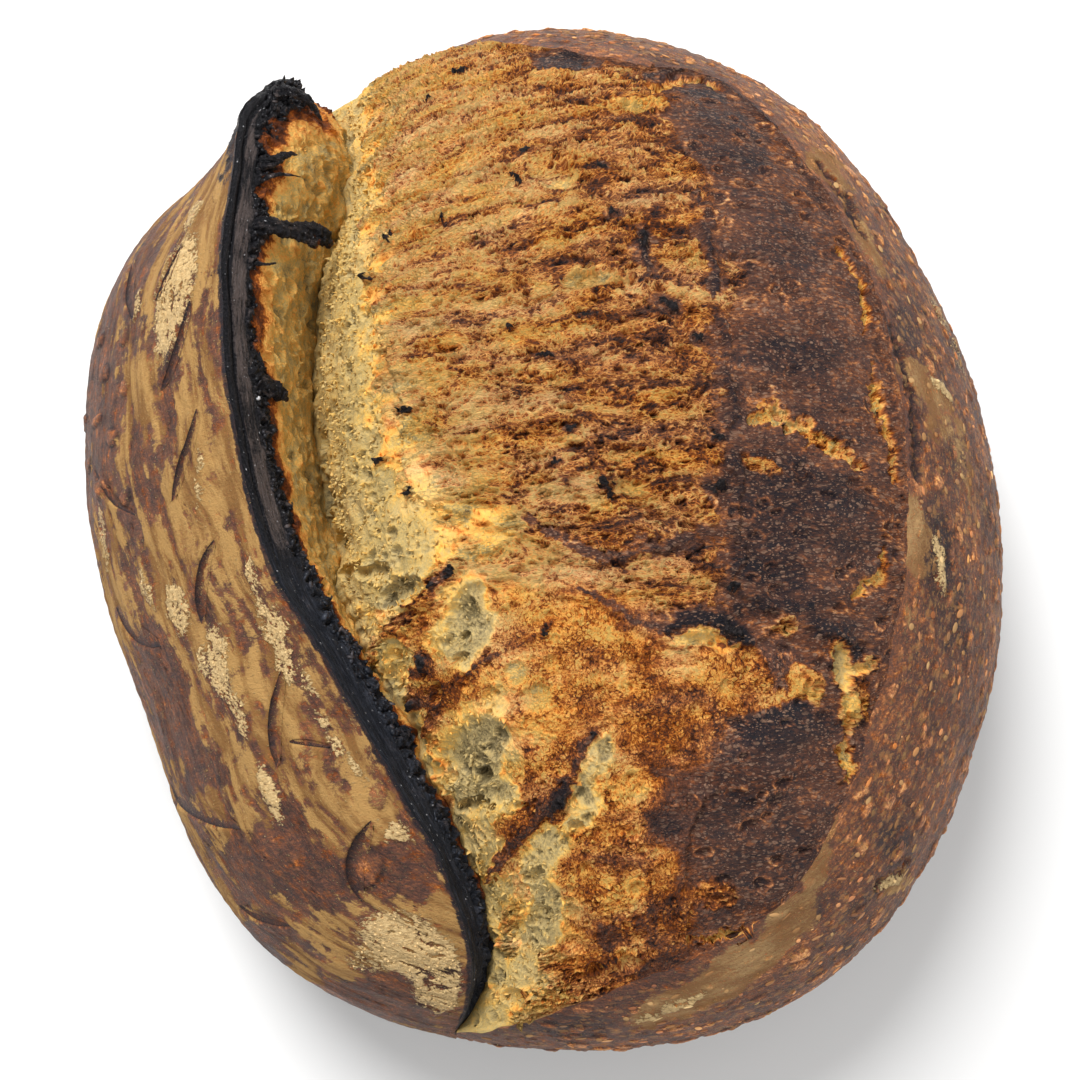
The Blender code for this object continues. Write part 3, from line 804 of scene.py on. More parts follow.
def rounded_ends(shares, power):
    """1 along a line, drawn in round at its two ends; a higher power keeps it wide for longer."""
    return np.sqrt(np.clip(1 - (2 * shares - 1) ** power, 0, 1))


def walls(points, width, seed):
    """1 on the walls between cells, 0 inside them."""
    nearest, second, name = cells(points, seed)
    return ease(width * (0.6 + 0.8 * name), 0, second - nearest)


def bubbles(points, share, seed):
    """Bubbles in some of the cells: how deep each point lies in one, and their rims."""
    nearest, second, name = cells(points, seed)
    here = name < share
    away = nearest / (0.22 + 0.30 * (name * 37 % 1))
    bowl = here * bowl_shape(away)
    rim = here * np.exp(-((away - 1.08) / 0.20) ** 2) * ease(0.02, 0.12, second - nearest)
    return bowl, rim


def torn_layers(value, count, width, spacing):
    """Overlapping layers that follow a smooth value: their height, and their torn edges."""
    slope = np.hypot(*np.gradient(value)) * count / spacing
    part = value * count % 1
    away = np.minimum(part, 1 - part) / np.maximum(slope, 1e-3)
    edge = np.exp(-(away / width) ** 2)
    rise = ease(0, 1, np.minimum(part / np.maximum(slope * width, 0.02), 1))
    return rise * (1 - part), edge


def ragged(line, amount, seed):
    """A repeatable wander along a line, which fades out at its ends."""
    p = line / MM
    coarse = noises(p / 9, seed, 3)
    fine = noises(p / 2.6, seed + 3, 3)
    length = arc_length(line)
    fade = ease(0, 8 * MM, np.minimum(length, length[-1] - length))
    return (coarse + 0.4 * fine) * amount * MM * fade[:, None]


# How far the slash's edges wander, in millimetres
CREVICE_WANDER = 2.0
LIP_WANDER = 0.7
EDGE_WANDER = 0.35
TIP_WANDER = 1.3


def ragged_crevice(crevice, lip):
    """The wander of the crevice, calmer where the slash is narrow."""
    width = np.linalg.norm(lip[:, :2] - crevice[:, :2], axis=1)
    return ragged(crevice, CREVICE_WANDER, 11) * ease(2 * MM, 18 * MM, width)[:, None]


def ragged_edge(edge):
    """The wander of the ear's edge, rougher at its far tip."""
    amount = mix(EDGE_WANDER, TIP_WANDER, ease(64 * MM, 78 * MM, edge[:, 1]))
    return ragged(edge, 1.0, 21) * amount[:, None]


def near(distance, reach):
    """1 on a line, fading out at a reach in millimetres from it."""
    return np.exp(-(distance / (reach * MM)) ** 2)[..., None]


# --- Pieces --------------------------------------

def trimmed_shares(count):
    """Shares along the slash that stop just short of its two ends."""
    return np.clip(slash_shares(count), SLASH_TRIM, 1 - SLASH_TRIM)


def zone_bake(plan):
    """How baked the bloom is at each point, before any patches."""
    zones = np.array(sorted(TEAR_ZONES), dtype=float)
    x, y = plan[..., 0], plan[..., 1]
    edges = [np.interp(y, zones[:, 0], zones[:, k]) for k in range(1, 6)]
    bake = np.full(x.shape, ZONE_BAKES[0])
    for k in range(4):
        bake = mix(bake, ZONE_BAKES[k + 1], ease(edges[k], edges[k + 1], x))
    return bake


def chain_cover(plan, points, half_width):
    """1 on a ragged band along the points, whose width comes and goes."""
    away, _, share = line_distance(plan, points, 4 * half_width)
    uneven = 1 + 0.9 * noise(plan / 3.6, 301) + 0.6 * noise(plan / 1.4, 302)
    uneven += 0.3 * noise(plan / 0.7, 303)
    taper = 0.2 + 0.8 * rounded_ends(share, 4)
    return ease(1.35, 0.65, away / (half_width * np.maximum(uneven, 0.15) * taper))


def ledge_height(plan, height, points):
    """A layer whose torn edge runs along the points, and which sinks away from it."""
    away, side, _ = line_distance(plan, points, LEDGE_REACH)
    above = ease(-0.35, 0.35, side * np.sign(height)) * np.exp(-away / 9)
    below = ease(0.35, -0.35, side * np.sign(height)) * np.exp(-away / 5)
    return abs(height) * (0.6 * above - 0.5 * below)


def tear_marks(plan, zone):
    """The marks on the bloom: how baked, how raised, how charred, and how hollow."""
    loose = wandered(plan, 1.9, 6.0)
    torn_edge = wandered(plan, 0.9, 2.4, 54)
    crumbled = torn_edge + 0.5 * noises(plan / 0.9, 56)
    zone = painted(loose, BAKED, zone, 1.30, 0.70)
    raised = np.zeros_like(zone)
    open_band = np.zeros_like(zone)
    for bake, half_width, stand, points in CHAINS:
        cover = chain_cover(torn_edge, points, half_width)
        zone = mix(zone, bake, cover)
        raised += stand * cover
        if bake < OPEN_BAKE:
            open_band = np.maximum(open_band, cover)
        else:
            zone += 0.10 * chain_cover(loose, points, 2.4 * half_width) * ease(0.9, 0.6, zone)
    for height, points in LEDGES:
        raised += ledge_height(torn_edge, height, points)
    char = np.zeros_like(zone)
    for mark in FLECKS:
        away = lens(crumbled, mark) * 1.15
        char = np.maximum(char, ease(1.10, 0.80, away))
        zone = zone + 0.16 * ease(2.4, 1.0, away)
    rims = np.zeros_like(zone)
    bowls = np.zeros_like(zone)
    dented = wandered(plan, 0.6, 2.4, 66)
    for mark in BUBBLES + SLOTS:
        away = lens(dented, mark)
        depth = mark[5]
        bowls += depth * bowl_shape(away)
        rims = np.maximum(rims, min(depth, 1.0) * np.exp(-((away - 1.08) / 0.14) ** 2))
    netting = painted(loose, NETTED, 0 * zone, 1.35, 0.55)
    return zone, raised, char, bowls, rims, netting, open_band


def open_crumb(at):
    """The torn crumb's relief in millimetres, how much painted shade its holes take, and its thin
    bright edges, 0 to 1.
    """
    bent = at + 1.5 * noises(at / 5.5, 181, 3)
    bent += 0.45 * noises(at / 1.9, 191, 3)
    large_bowl, large_rim = bubbles(bent / (4.4, 4.4, 6.0), 0.60, 83)
    small_bowl, small_rim = bubbles(bent / (2.0, 2.0, 2.8), 0.50, 84)
    shreds = 0.75 * ridges(bent / (2.6, 4.6, 7.0), 2, 82) ** 2
    shreds += 0.4 * ridges(bent / (1.1, 1.7, 2.6), 2, 85) ** 3
    folds = fractal(at / 7, 2, 81)
    relief = 0.9 * folds - 0.9 * large_bowl + 0.25 * large_rim - 0.45 * small_bowl + 0.55 * shreds
    # how deep the crumb lies in its bowls, where painted shade darkens it
    hole_shade = np.clip(0.75 * large_bowl + 0.5 * small_bowl - 0.3 * folds, 0, 1)
    return relief, hole_shade, np.clip(0.45 * large_rim + 0.35 * small_rim + 0.75 * shreds, 0, 1)


def tear_bloom(material):
    """The torn bloom, from the open crumb in the crevice to the dark crust at the lip."""
    shares = trimmed_shares(BLOOM_COLUMNS)
    _, crevice, lip = slash_lines(shares)
    grid, reach = bloom_grid(crevice, lip)
    left = reach[-1] - reach
    body = ease(0, 10, reach[-1] / MM)[None]
    flow = tear_flow(grid)
    grid += ragged_crevice(crevice, lip) * near(reach, 4)
    grid += ragged(lip, LIP_WANDER, 31) * near(left, 4)
    reach, left = reach / MM, left / MM
    at = grid / MM
    plan = at[..., :2]
    zone = zone_bake(wandered(plan, 4.2, 9.0, 58))
    zone, raised, char, bowls, rims, netting, open_band = tear_marks(plan, zone)
    flow += np.stack((1.2 * noise(flow / 9, 61), 0.8 * noise(flow / (12, 5), 62)), axis=-1)
    zone += 0.08 * fractal(flow / (24, 6), 3, 63) * ease(0.24, 0.36, zone)
    zone += 0.14 * fractal(flow / (9, 3.5), 3, 81) * ease(0.14, 0.22, zone) * ease(0.46, 0.36, zone)
    crumb = ease(0.33, 0.18, zone) * (1 - 0.7 * open_band)
    crust = ease(0.60, 0.72, zone) * (1 - 0.7 * netting * ease(40, 30, plan[..., 0]))
    fibre = (1 - crumb) * (1 - crust)
    netting = np.maximum(netting, open_band)
    golden = ease(0.58, 0.46, zone)
    strung = fibre * (1 - netting)
    netted = fibre * netting
    # the stretched dough: long streaks, layers, lens-shaped bubbles and thin strands
    wrinkled = flow + 0.35 * np.stack((noise(flow / 1.7, 64), noise(flow / 1.3, 65)), axis=-1)
    streaks = fractal(flow / (17, 3.4), 3, 74)
    layer, layer_edge = torn_layers(fractal(flow / (13, 5.0), 3, 79), 3.6, 0.34, 0.24)
    broken = ease(-0.15, 0.40, noise(flow / (7, 3), 75))
    strand = ridges(wrinkled / (5.5, 1.25), 3, 76) ** 3
    long_bowl, long_rim = bubbles(wrinkled / (5.2, 2.3), 0.34, 71)
    short_bowl, short_rim = bubbles(wrinkled / (2.5, 1.25), 0.50, 72)
    tiny_bowl, tiny_rim = bubbles(wrinkled / (1.35, 0.85), 0.45, 77)
    fine = fractal(wrinkled / (1.5, 0.6), 2, 78)
    smudge = fractal(flow / (9, 3.0), 3, 80)
    wide_bowl, wide_rim = bubbles(at / 4.4, 0.55, 171)
    round_bowl, round_rim = bubbles(at / 2.2, 0.60, 172)
    small_bowl, small_rim = bubbles(at / 1.2, 0.55, 173)
    threads = ridges(at / 2.4 + 0.3 * noise(at / 1.4, 174)[..., None], 2, 175) ** 6
    cloud = fractal(at / 6, 3, 86)
    mottle = fractal(at / 2.6, 3, 178)
    swell = 1.1 * fractal(at / 24, 2, 176) + 0.5 * fractal(at / 9, 2, 177)
    torn, hole_shade, wisps = open_crumb(at)
    # pores and dashes in the dark crust
    pore, pore_rim = bubbles(wrinkled / (4.6, 3.2), 0.22, 85)
    dash, _ = bubbles(wrinkled / (2.0, 0.9), 0.50, 87)
    relief = swell + raised + 1.1 * char * (0.3 + ridges(at / 1.4, 2, 187)) + 0.35 * rims - bowls
    relief += strung * (1.05 * layer + 0.35 * strand + 0.4 * streaks - 0.3 * smudge + 0.22 * fine)
    relief += strung * (0.30 * (long_rim + short_rim) + 0.14 * tiny_rim)
    relief -= strung * (1.2 * long_bowl + 0.7 * short_bowl + 0.3 * tiny_bowl)
    relief += netted * (0.25 * (wide_rim + round_rim) + 0.15 * small_rim + 0.4 * cloud
                        + 0.35 * threads)
    relief -= netted * (0.8 * wide_bowl + 0.5 * round_bowl + 0.3 * small_bowl)
    relief -= open_band * (0.9 * round_bowl + 0.8 * small_bowl)
    relief += crumb * (torn - 0.3)
    relief += crust * (0.25 * streaks + 0.16 * fine - 0.7 * pore + 0.12 * pore_rim + 0.10 * dash)
    vein = layer_edge * broken
    bake = zone + 0.04 * cloud
    bake += strung * (0.18 * streaks + 0.28 * smudge + 0.26 * vein - 0.18 * strand + 0.03
                      - 0.02 * golden)
    bake += strung * 0.16 * np.minimum(fine, 0.08)
    bake += strung * (0.08 * (long_bowl + short_bowl) - 0.20 * np.maximum(long_rim, short_rim))
    bake += strung * (0.06 * tiny_bowl - 0.14 * tiny_rim)
    bake += netted * (0.05 * round_bowl - 0.12 * wide_bowl - 0.06 * np.maximum(wide_rim, round_rim))
    bake += netted * (0.05 * small_bowl - 0.09 * small_rim - 0.12 * threads + 0.20 * mottle)
    bake += netted * (0.18 * cloud + 0.01)
    bake += open_band * (0.30 * np.maximum(round_bowl, small_bowl) - 0.10 * small_rim
                         + 0.2 * mottle)
    toasted = ease(0.05, 0.45, mottle + 0.9 * cloud) * ease(0.13, 0.20, zone)
    # painted shade: the crumb is darker in its deep holes and bowls
    bake += crumb * (0.20 * toasted - 0.11 * hole_shade + 0.07 * (wisps - 0.3) + 0.05 * mottle)
    bake -= crumb * 0.07 * ease(1.0, 3.0, bowls)
    bake += crust * (0.12 * streaks + 0.08 * fine - 0.18 * dash + 0.05 * pore - 0.24 * pore_rim)
    bake += 0.16 * rims * (1 - crumb) - 0.08 * np.clip(bowls, 0, 1) * fibre
    bake = np.maximum(bake, 0.25 - 0.6 * crumb)
    blush = 0.30 + 0.8 * fractal(flow / (16, 7), 3, 89) + 0.3 * vein * strung + 0.7 * crust
    blush = np.clip(blush - 0.2 * netted - 0.3 * crumb, 0, 1)
    fade = ease(0, 1.6, reach) * ease(0, 1.2, left) * ease(0, 6, reach[-1])[None]
    grid = grid + grid_normals(grid) * (relief * fade * MM)[..., None]
    kind = np.stack((netting, crumb, crust), axis=-1)
    place = np.concatenate((flow, blush[..., None]), axis=-1)
    values = {"bake": bake, "char": char, "kind": kind, "flow": place,
              "shreds": crumb * (1 - open_band) * ease(1, 4, reach) * ease(3, 8, left)
              * ease(0.12, 0.45, wisps)}
    thickness = (0.15 + 2.35 * body) * MM
    return shells("bloom_band", grid, thickness, values, material, rows=BLOOM_SPLITS)


# Along the ear at each y: how far from its edge the smooth strip, char, brown and gold end
EAR_ZONES = (
    (99, 0, 0.2, 1, 4), (92, 0, 0.4, 3, 8), (88, 0.2, 1.2, 5, 11), (84, 0.8, 4, 8, 14),
    (80, 1.8, 11, 13.5, 18), (77, 2.6, 8, 12, 17), (72, 4, 6.4, 9, 16), (66, 5.8, 7.6, 9.4, 15),
    (62, 6.5, 11.5, 14, 18), (54, 7, 8.2, 9.8, 14), (47, 7.5, 12, 13.5, 16), (38, 7.5, 8.8, 10, 15),
    (27, 7.5, 9.5, 15.5, 18), (20, 8, 9.3, 11, 17), (13, 8, 13.5, 15.5, 20), (4, 8, 11, 14, 19),
    (-6, 8, 13, 16, 19), (-16, 8, 12.5, 14.5, 17), (-24, 7.5, 12, 14, 16), (-34, 7, 13, 15, 17.5),
    (-50, 7, 14, 16.5, 19), (-66, 7, 14, 16, 18), (-84, 7, 13, 15, 18), (-105, 6, 11, 13, 15),
    (-118, 5, 9, 11, 13),
)


def raise_ear(material):
    """The ear's inner face: a charred strip along its edge, a ragged fringe, then crumb."""
    shares = trimmed_shares(EAR_COLUMNS)
    edge, crevice, lip = slash_lines(shares)
    grid = ear_grid(edge, crevice)
    down = rows_up(grid)
    up = down[-1] - down
    grid += ragged_crevice(crevice, lip) * near(up, 4)
    grid += ragged_edge(edge) * near(down, 3)
    down, up = down / MM, up / MM
    at = grid / MM
    y = at[..., 1]
    zones = np.array(sorted(EAR_ZONES), dtype=float)
    strip, fringe, brown, gold = [np.interp(y, zones[:, 0], zones[:, k]) for k in range(1, 5)]
    lower_half = ease(-8, -38, y)
    tip = ease(70, 84, y)
    fine_teeth = 1.5 * (ridges(np.stack((y / 1.6, down / 5.0), axis=-1), 2, 198) - 0.5)
    teeth = 2.4 * fractal(at / (3.2, 3.2, 9.0), 3, 91) + 1.6 * noise(at / 6, 92) + fine_teeth
    strip = strip + 0.35 * teeth
    fringe = fringe + 1.1 * teeth
    brown = np.maximum(brown, fringe + 0.8) + 1.3 * teeth
    gold = np.maximum(gold, brown + 1.5) + 1.5 * noise(at / 5, 93)
    torn, hole_shade, wisps = open_crumb(at)
    bake = mix(0.86, 0.66, ease(-0.4, 0.4, down - fringe))
    bake = mix(bake, 0.50, ease(-1.6, 0.6, down - brown))
    bake = mix(bake, 0.34, ease(-0.5, 2.0, down - brown))
    bake = mix(bake, 0.18, ease(-3.5, 2.5, down - gold))
    char = ease(0.6, -0.4, down - fringe)
    # the tip's inner side is toasted brown in patches
    toast = tip * ease(-0.1, 0.4, fractal(at / 4, 3, 199) + 0.10 * (down - 6)) * ease(2, 5, down)
    char = char * (1 - toast)
    bake = mix(bake, 0.60, toast * ease(2, -2, down - fringe))
    rough = ease(strip - 0.6, strip + 0.6, down)
    crumb = ease(-0.4, 1.0, down - fringe)
    # charred flakes and blocks along the fringe, long wrinkles on the strip
    flakes = 2.0 * (ridges(at / (3.0, 3.0, 3.6), 3, 94) - 0.55) + 0.9 * fractal(at / 1.3, 2, 95)
    blocks = 0.9 * (walls(at / (2.6, 3.4, 3.4), 0.3, 99) * -1 + 0.4)
    length = np.stack((y / 9, down / 1.3), axis=-1)
    wrinkles = ridges(length + 0.3 * noise(at / 4, 97)[..., None], 3, 98)
    relief = rough * char * (flakes + blocks) * (1 + 0.7 * tip) + 1.3 * crumb * (torn - 0.3)
    relief += (1 - rough) * (0.35 * (wrinkles - 0.6) + 0.30 * noise(at / 8, 96))
    groove_at = 2.5 + 0.5 * noise(np.stack((y / 14, 0 * y), axis=-1), 196)
    groove = np.exp(-((down - groove_at) / 0.30) ** 2) * (1 - lower_half) * (1 - tip)
    relief -= 0.8 * groove
    relief += 0.35 * np.exp(-((down - 1.1) / 0.8) ** 2) * (1 - lower_half)
    relief -= 1.3 * lower_half * np.exp(-((down - 4.0) / 2.4) ** 2)
    relief *= ease(0, 0.8, down) * ease(0, 1.6, up) * ease(0, 6, up[0])[None]
    mottle = fractal(at / 2.6, 3, 178)
    # painted shade: the crumb is darker in its deep holes
    bake += crumb * (0.22 * mottle + 0.12 * (wisps - 0.3) - 0.09 * hole_shade)
    grid = grid + grid_normals(grid) * (relief * MM)[..., None]
    thickness = np.clip(0.30 * down, 0.25, 2.2) * (0.1 + 0.9 * ease(0, 10, up[0]))[None] * MM
    # Grey on a band behind the smooth strip, and on the raised tops of the flakes.
    greyness = ease(2.4, 3.4, down) * ease(strip + 0.4, strip - 1.2, down) * (1 - 0.8 * lower_half)
    greyness = greyness * (0.65 + 0.8 * fractal(at / (5, 9, 9), 3, 197)) + 0.5 * rough * char * (flakes > 0.5)
    place = np.stack((down, y, 0.1 * crumb), axis=-1)
    kind = np.stack((crumb, np.clip(greyness, 0, 1), lower_half), axis=-1)
    values = {"bake": bake, "char": char, "kind": kind, "flow": place,
              "chips": rough * char * ease(0.5, 1.5, down) * ease(4, 10, up)}
    return [shell("ear_face", grid, thickness, values, material)]


def strand_grid(middle, width, flatness):
    """Rings round a line: a thread of burnt dough, rough all over, and drawn in at its ends."""
    along = np.gradient(middle, axis=0)
    along /= np.linalg.norm(along, axis=1)[:, None]
    side = np.cross(along, (0.0, 0.0, 1.0))
    side /= np.linalg.norm(side, axis=1)[:, None]
    upward = np.cross(side, along)
    turn = np.linspace(0, 2 * math.pi, STRAND_TURNS, endpoint=False)
    shares = np.linspace(0, 1, len(middle))
    closing = rounded_ends(shares, 12)
    spread = side[:, None] * np.cos(turn)[None, :, None]
    spread = spread + flatness * upward[:, None] * np.sin(turn)[None, :, None]
    radius = (width * closing)[:, None] * (1 + 0 * turn)
    at = middle[:, None] / MM + radius[..., None] * spread
    fibres = fractal(at / (6, 0.9, 0.9), 2, 214)
    lumps = 0.7 * fractal(at / 1.8, 3, 211) + 0.9 * (ridges(at / 1.3, 2, 212) - 0.6) + 0.8 * fibres
    radius = radius * np.clip(1 + 0.8 * lumps, 0.3, 2)
    return middle[:, None] + (radius * MM)[..., None] * spread


def char_strand(name, grids, material):
    """Burnt threads joined into one strand."""
    points = np.concatenate([grid.reshape(-1, 3) for grid in grids])
    faces = []
    for number, grid in enumerate(grids):
        rings, turns = grid.shape[:2]
        index = np.arange(rings * turns).reshape(rings, turns) + number * rings * turns
        following = np.roll(index, -1, axis=1)
        sides = np.stack((index[:-1], index[1:], following[1:], following[:-1]), axis=-1)
        faces += sides.reshape(-1, 4).tolist() + [index[0].tolist(), index[-1, ::-1].tolist()]
    mesh = bpy.data.meshes.new(name)
    mesh.from_pydata((points - MIDDLE).tolist(), [], faces)
    tube = bmesh.new()
    tube.from_mesh(mesh)
    bmesh.ops.recalc_face_normals(tube, faces=tube.faces)
    tube.to_mesh(mesh)
    tube.free()
    mesh.shade_smooth()
    at = points / MM
    end = np.concatenate([np.repeat(np.linspace(0, 1, len(grid)), grid.shape[1]) for grid in grids])
    brown = (ease(0.86, 1.0, end) * ease(-0.2, 0.3, noise(at / 2.4, 216)))[:, None]
    greyness = np.clip(0.2 + 0.9 * fractal(at / 2.5, 2, 215), 0, 1)[:, None]
    add_attribute(mesh, "bake", 0.9 - 0.3 * brown)
    add_attribute(mesh, "char", 1 - 0.8 * brown)
    add_attribute(mesh, "kind", np.concatenate((0 * greyness, greyness, 0 * greyness), axis=1))
    add_attribute(mesh, "flow", np.concatenate((at[:, 1:2], at[:, :1], 0 * greyness), axis=1))
    return add_piece(name, mesh, material)


# Burnt strands that bridge the crevice: threads, half widths, flatness, points with their heights
STRANDS = (
    (7, (2.6, 2.2, 1.9, 2.6, 3.2, 3), 0.4,
     ((-59.5, 46.5, 89.6), (-57.5, 46.5, 90.2), (-54, 46.5, 88.4), (-50.5, 47.5, 85),
      (-47, 48, 81.5), (-44.5, 47.5, 78))),
    (6, (3.2, 2.6, 2.1, 2.5, 1.8), 0.5,
     ((-60, 14, 88.4), (-58, 13, 88.2), (-55, 11.5, 85.4), (-52, 10.5, 81.5))),
    (2, (0.9, 0.7, 0.5, 0.2), 0.8,
     ((-59, 57, 89.2), (-56, 58.5, 89.4), (-53.5, 59.5, 88), (-50.5, 60, 85.6))),
    (1, (0.5, 0.35, 0.3, 0.15), 0.8, ((-59, 38, 89.8), (-56.5, 37.6, 90), (-54.5, 38.6, 88.6))),
    (4, (2, 1.7, 1.3, 0.7), 0.4,
     ((-57.5, 80, 86), (-54, 80.5, 86), (-50.5, 80, 83.2), (-47.5, 77, 79.4))),
    (4, (2.2, 1.8, 1.2, 0.6), 0.6,
     ((-59, 61, 89), (-56, 62, 89.2), (-53.5, 64, 88), (-51.5, 65, 86.3))),
)
STRAND_RINGS = 70
STRAND_TURNS = 20


def bridge_crevice(material):
    """Burnt strands that reach over the crevice from the ear, each of several threads."""
    made = []
    for number, (threads, half_widths, flatness, points) in enumerate(STRANDS):
        grids = []
        for thread in range(threads):
            shares = np.linspace(0, 1 - 0.30 * (thread * 0.618 % 1), STRAND_RINGS)
            middle = curve(np.asarray(points) * MM, shares)
            width = np.interp(shares, np.linspace(0, 1, len(half_widths)), half_widths)
            turn = 2.4 * thread + 1.6 * shares
            aside = 0.62 * width * MM * math.sqrt(thread / threads)
            middle[:, 1] += aside * np.cos(turn)
            middle[:, 2] += flatness * aside * np.sin(turn)
            share = 1.0 if threads == 1 else 0.46
            grids.append(strand_grid(middle, share * width, mix(flatness, 1.0, 0.4)))
        made.append(char_strand("burnt_strand_%d" % (number + 1), grids, material))
    return made


def laid_flat(grid, up, rows):
    """Millimetres along a skin and up it, and how near each point is to the other skin."""
    along = np.broadcast_to(arc_length(grid[UNDER_ROWS + rows // 2]), up.shape) / MM
    seam = ease(SEAM_REACH, 0, np.minimum(along, along[:, -1:] - along))
    return np.stack((along, up / MM), axis=-1), seam


def score_line(plan, points, width):
    """A shallow cut: how much one side lifts and the other sinks, and how bare it is."""
    away, side, share = line_distance(plan, points, CUT_REACH)
    taper = rounded_ends(share, 4)
    bare = ease(-0.5, 0.3, side) * np.exp(-away / (0.4 * width)) * taper
    lifted = ease(-0.1, 0.7, -side) * np.exp(-away / 2.2) * taper
    return 0.8 * lifted - 0.7 * bare, bare


def near_values(plan, skin, fields):
    """The skin's fields at plan places, blended from its nearest points."""
    low, high = plan.min(axis=0) - 2, plan.max(axis=0) + 2
    here = np.all((skin[:, :2] > low) & (skin[:, :2] < high), axis=1)
    away = np.linalg.norm(plan[:, None] - skin[here][None, :, :2], axis=2)
    nearest = np.argpartition(away, 6, axis=1)[:, :6]
    weight = 1 / (np.take_along_axis(away, nearest, axis=1) + 0.05) ** 2
    weight /= weight.sum(axis=1, keepdims=True)
    return (fields[here][nearest] * weight[..., None]).sum(axis=1)


def open_cuts(grid, values, material):
    """The smooth floors of the score cuts, clean, with painted shade along the lip's side, fading at
    the other.
    """
    skin = (grid[UNDER_ROWS:] / MM).reshape(-1, 3)
    fields = [skin[:, 2:]]
    for key in ("bake", "flour", "spotted", "flow"):
        fields.append(values[key][UNDER_ROWS:].reshape(len(skin), -1))
    fields = np.concatenate(fields, axis=1)
    made = []
    for number, (width, dark, points) in enumerate(SCORES):
        shares = np.linspace(0, 1, CUT_COLUMNS)
        across = np.linspace(0, 1, CUT_ROWS)[:, None]
        line = curve(np.asarray(points), shares)
        along = np.gradient(line, axis=0)
        along /= np.linalg.norm(along, axis=1)[:, None]
        aside = np.stack((-along[:, 1], along[:, 0]), axis=1)
        taper = 0.05 + 0.95 * rounded_ends(shares, 2)
        plan = line + (taper * (across * (width + 0.3) - 0.3))[..., None] * aside
        found = near_values(plan.reshape(-1, 2), skin, fields).reshape(CUT_ROWS, CUT_COLUMNS, -1)
        lift = found[..., 0] + 0.15 - 0.3 * taper * np.sin(math.pi * across)
        place = np.concatenate((plan, lift[..., None]), axis=-1) * MM
        fading = ease(0.5, 1.0, across)
        # painted shade under the lifted lip, then the bare dough's own red-brown
        bake = mix(0.90, 0.64, ease(0.7 * dark, dark + 0.25, across))
        chosen = {"bake": mix(bake, found[..., 1], fading), "cake": 0 * bake * shares,
                  "flour": found[..., 2] * ease(min(dark + 0.2, 0.9), 1.0, across),
                  "spotted": 0.5 * found[..., 3], "flow": found[..., 4:]}
        made.append(shell("score_cut_%d" % (number + 1), place, 0.3 * MM, chosen, material))
    return made


def below_belly(at):
    """0 down to the belly, 1 where the skin turns under."""
    return ease(-1, -16, at[..., 2] - BELLY_HEIGHT / MM)


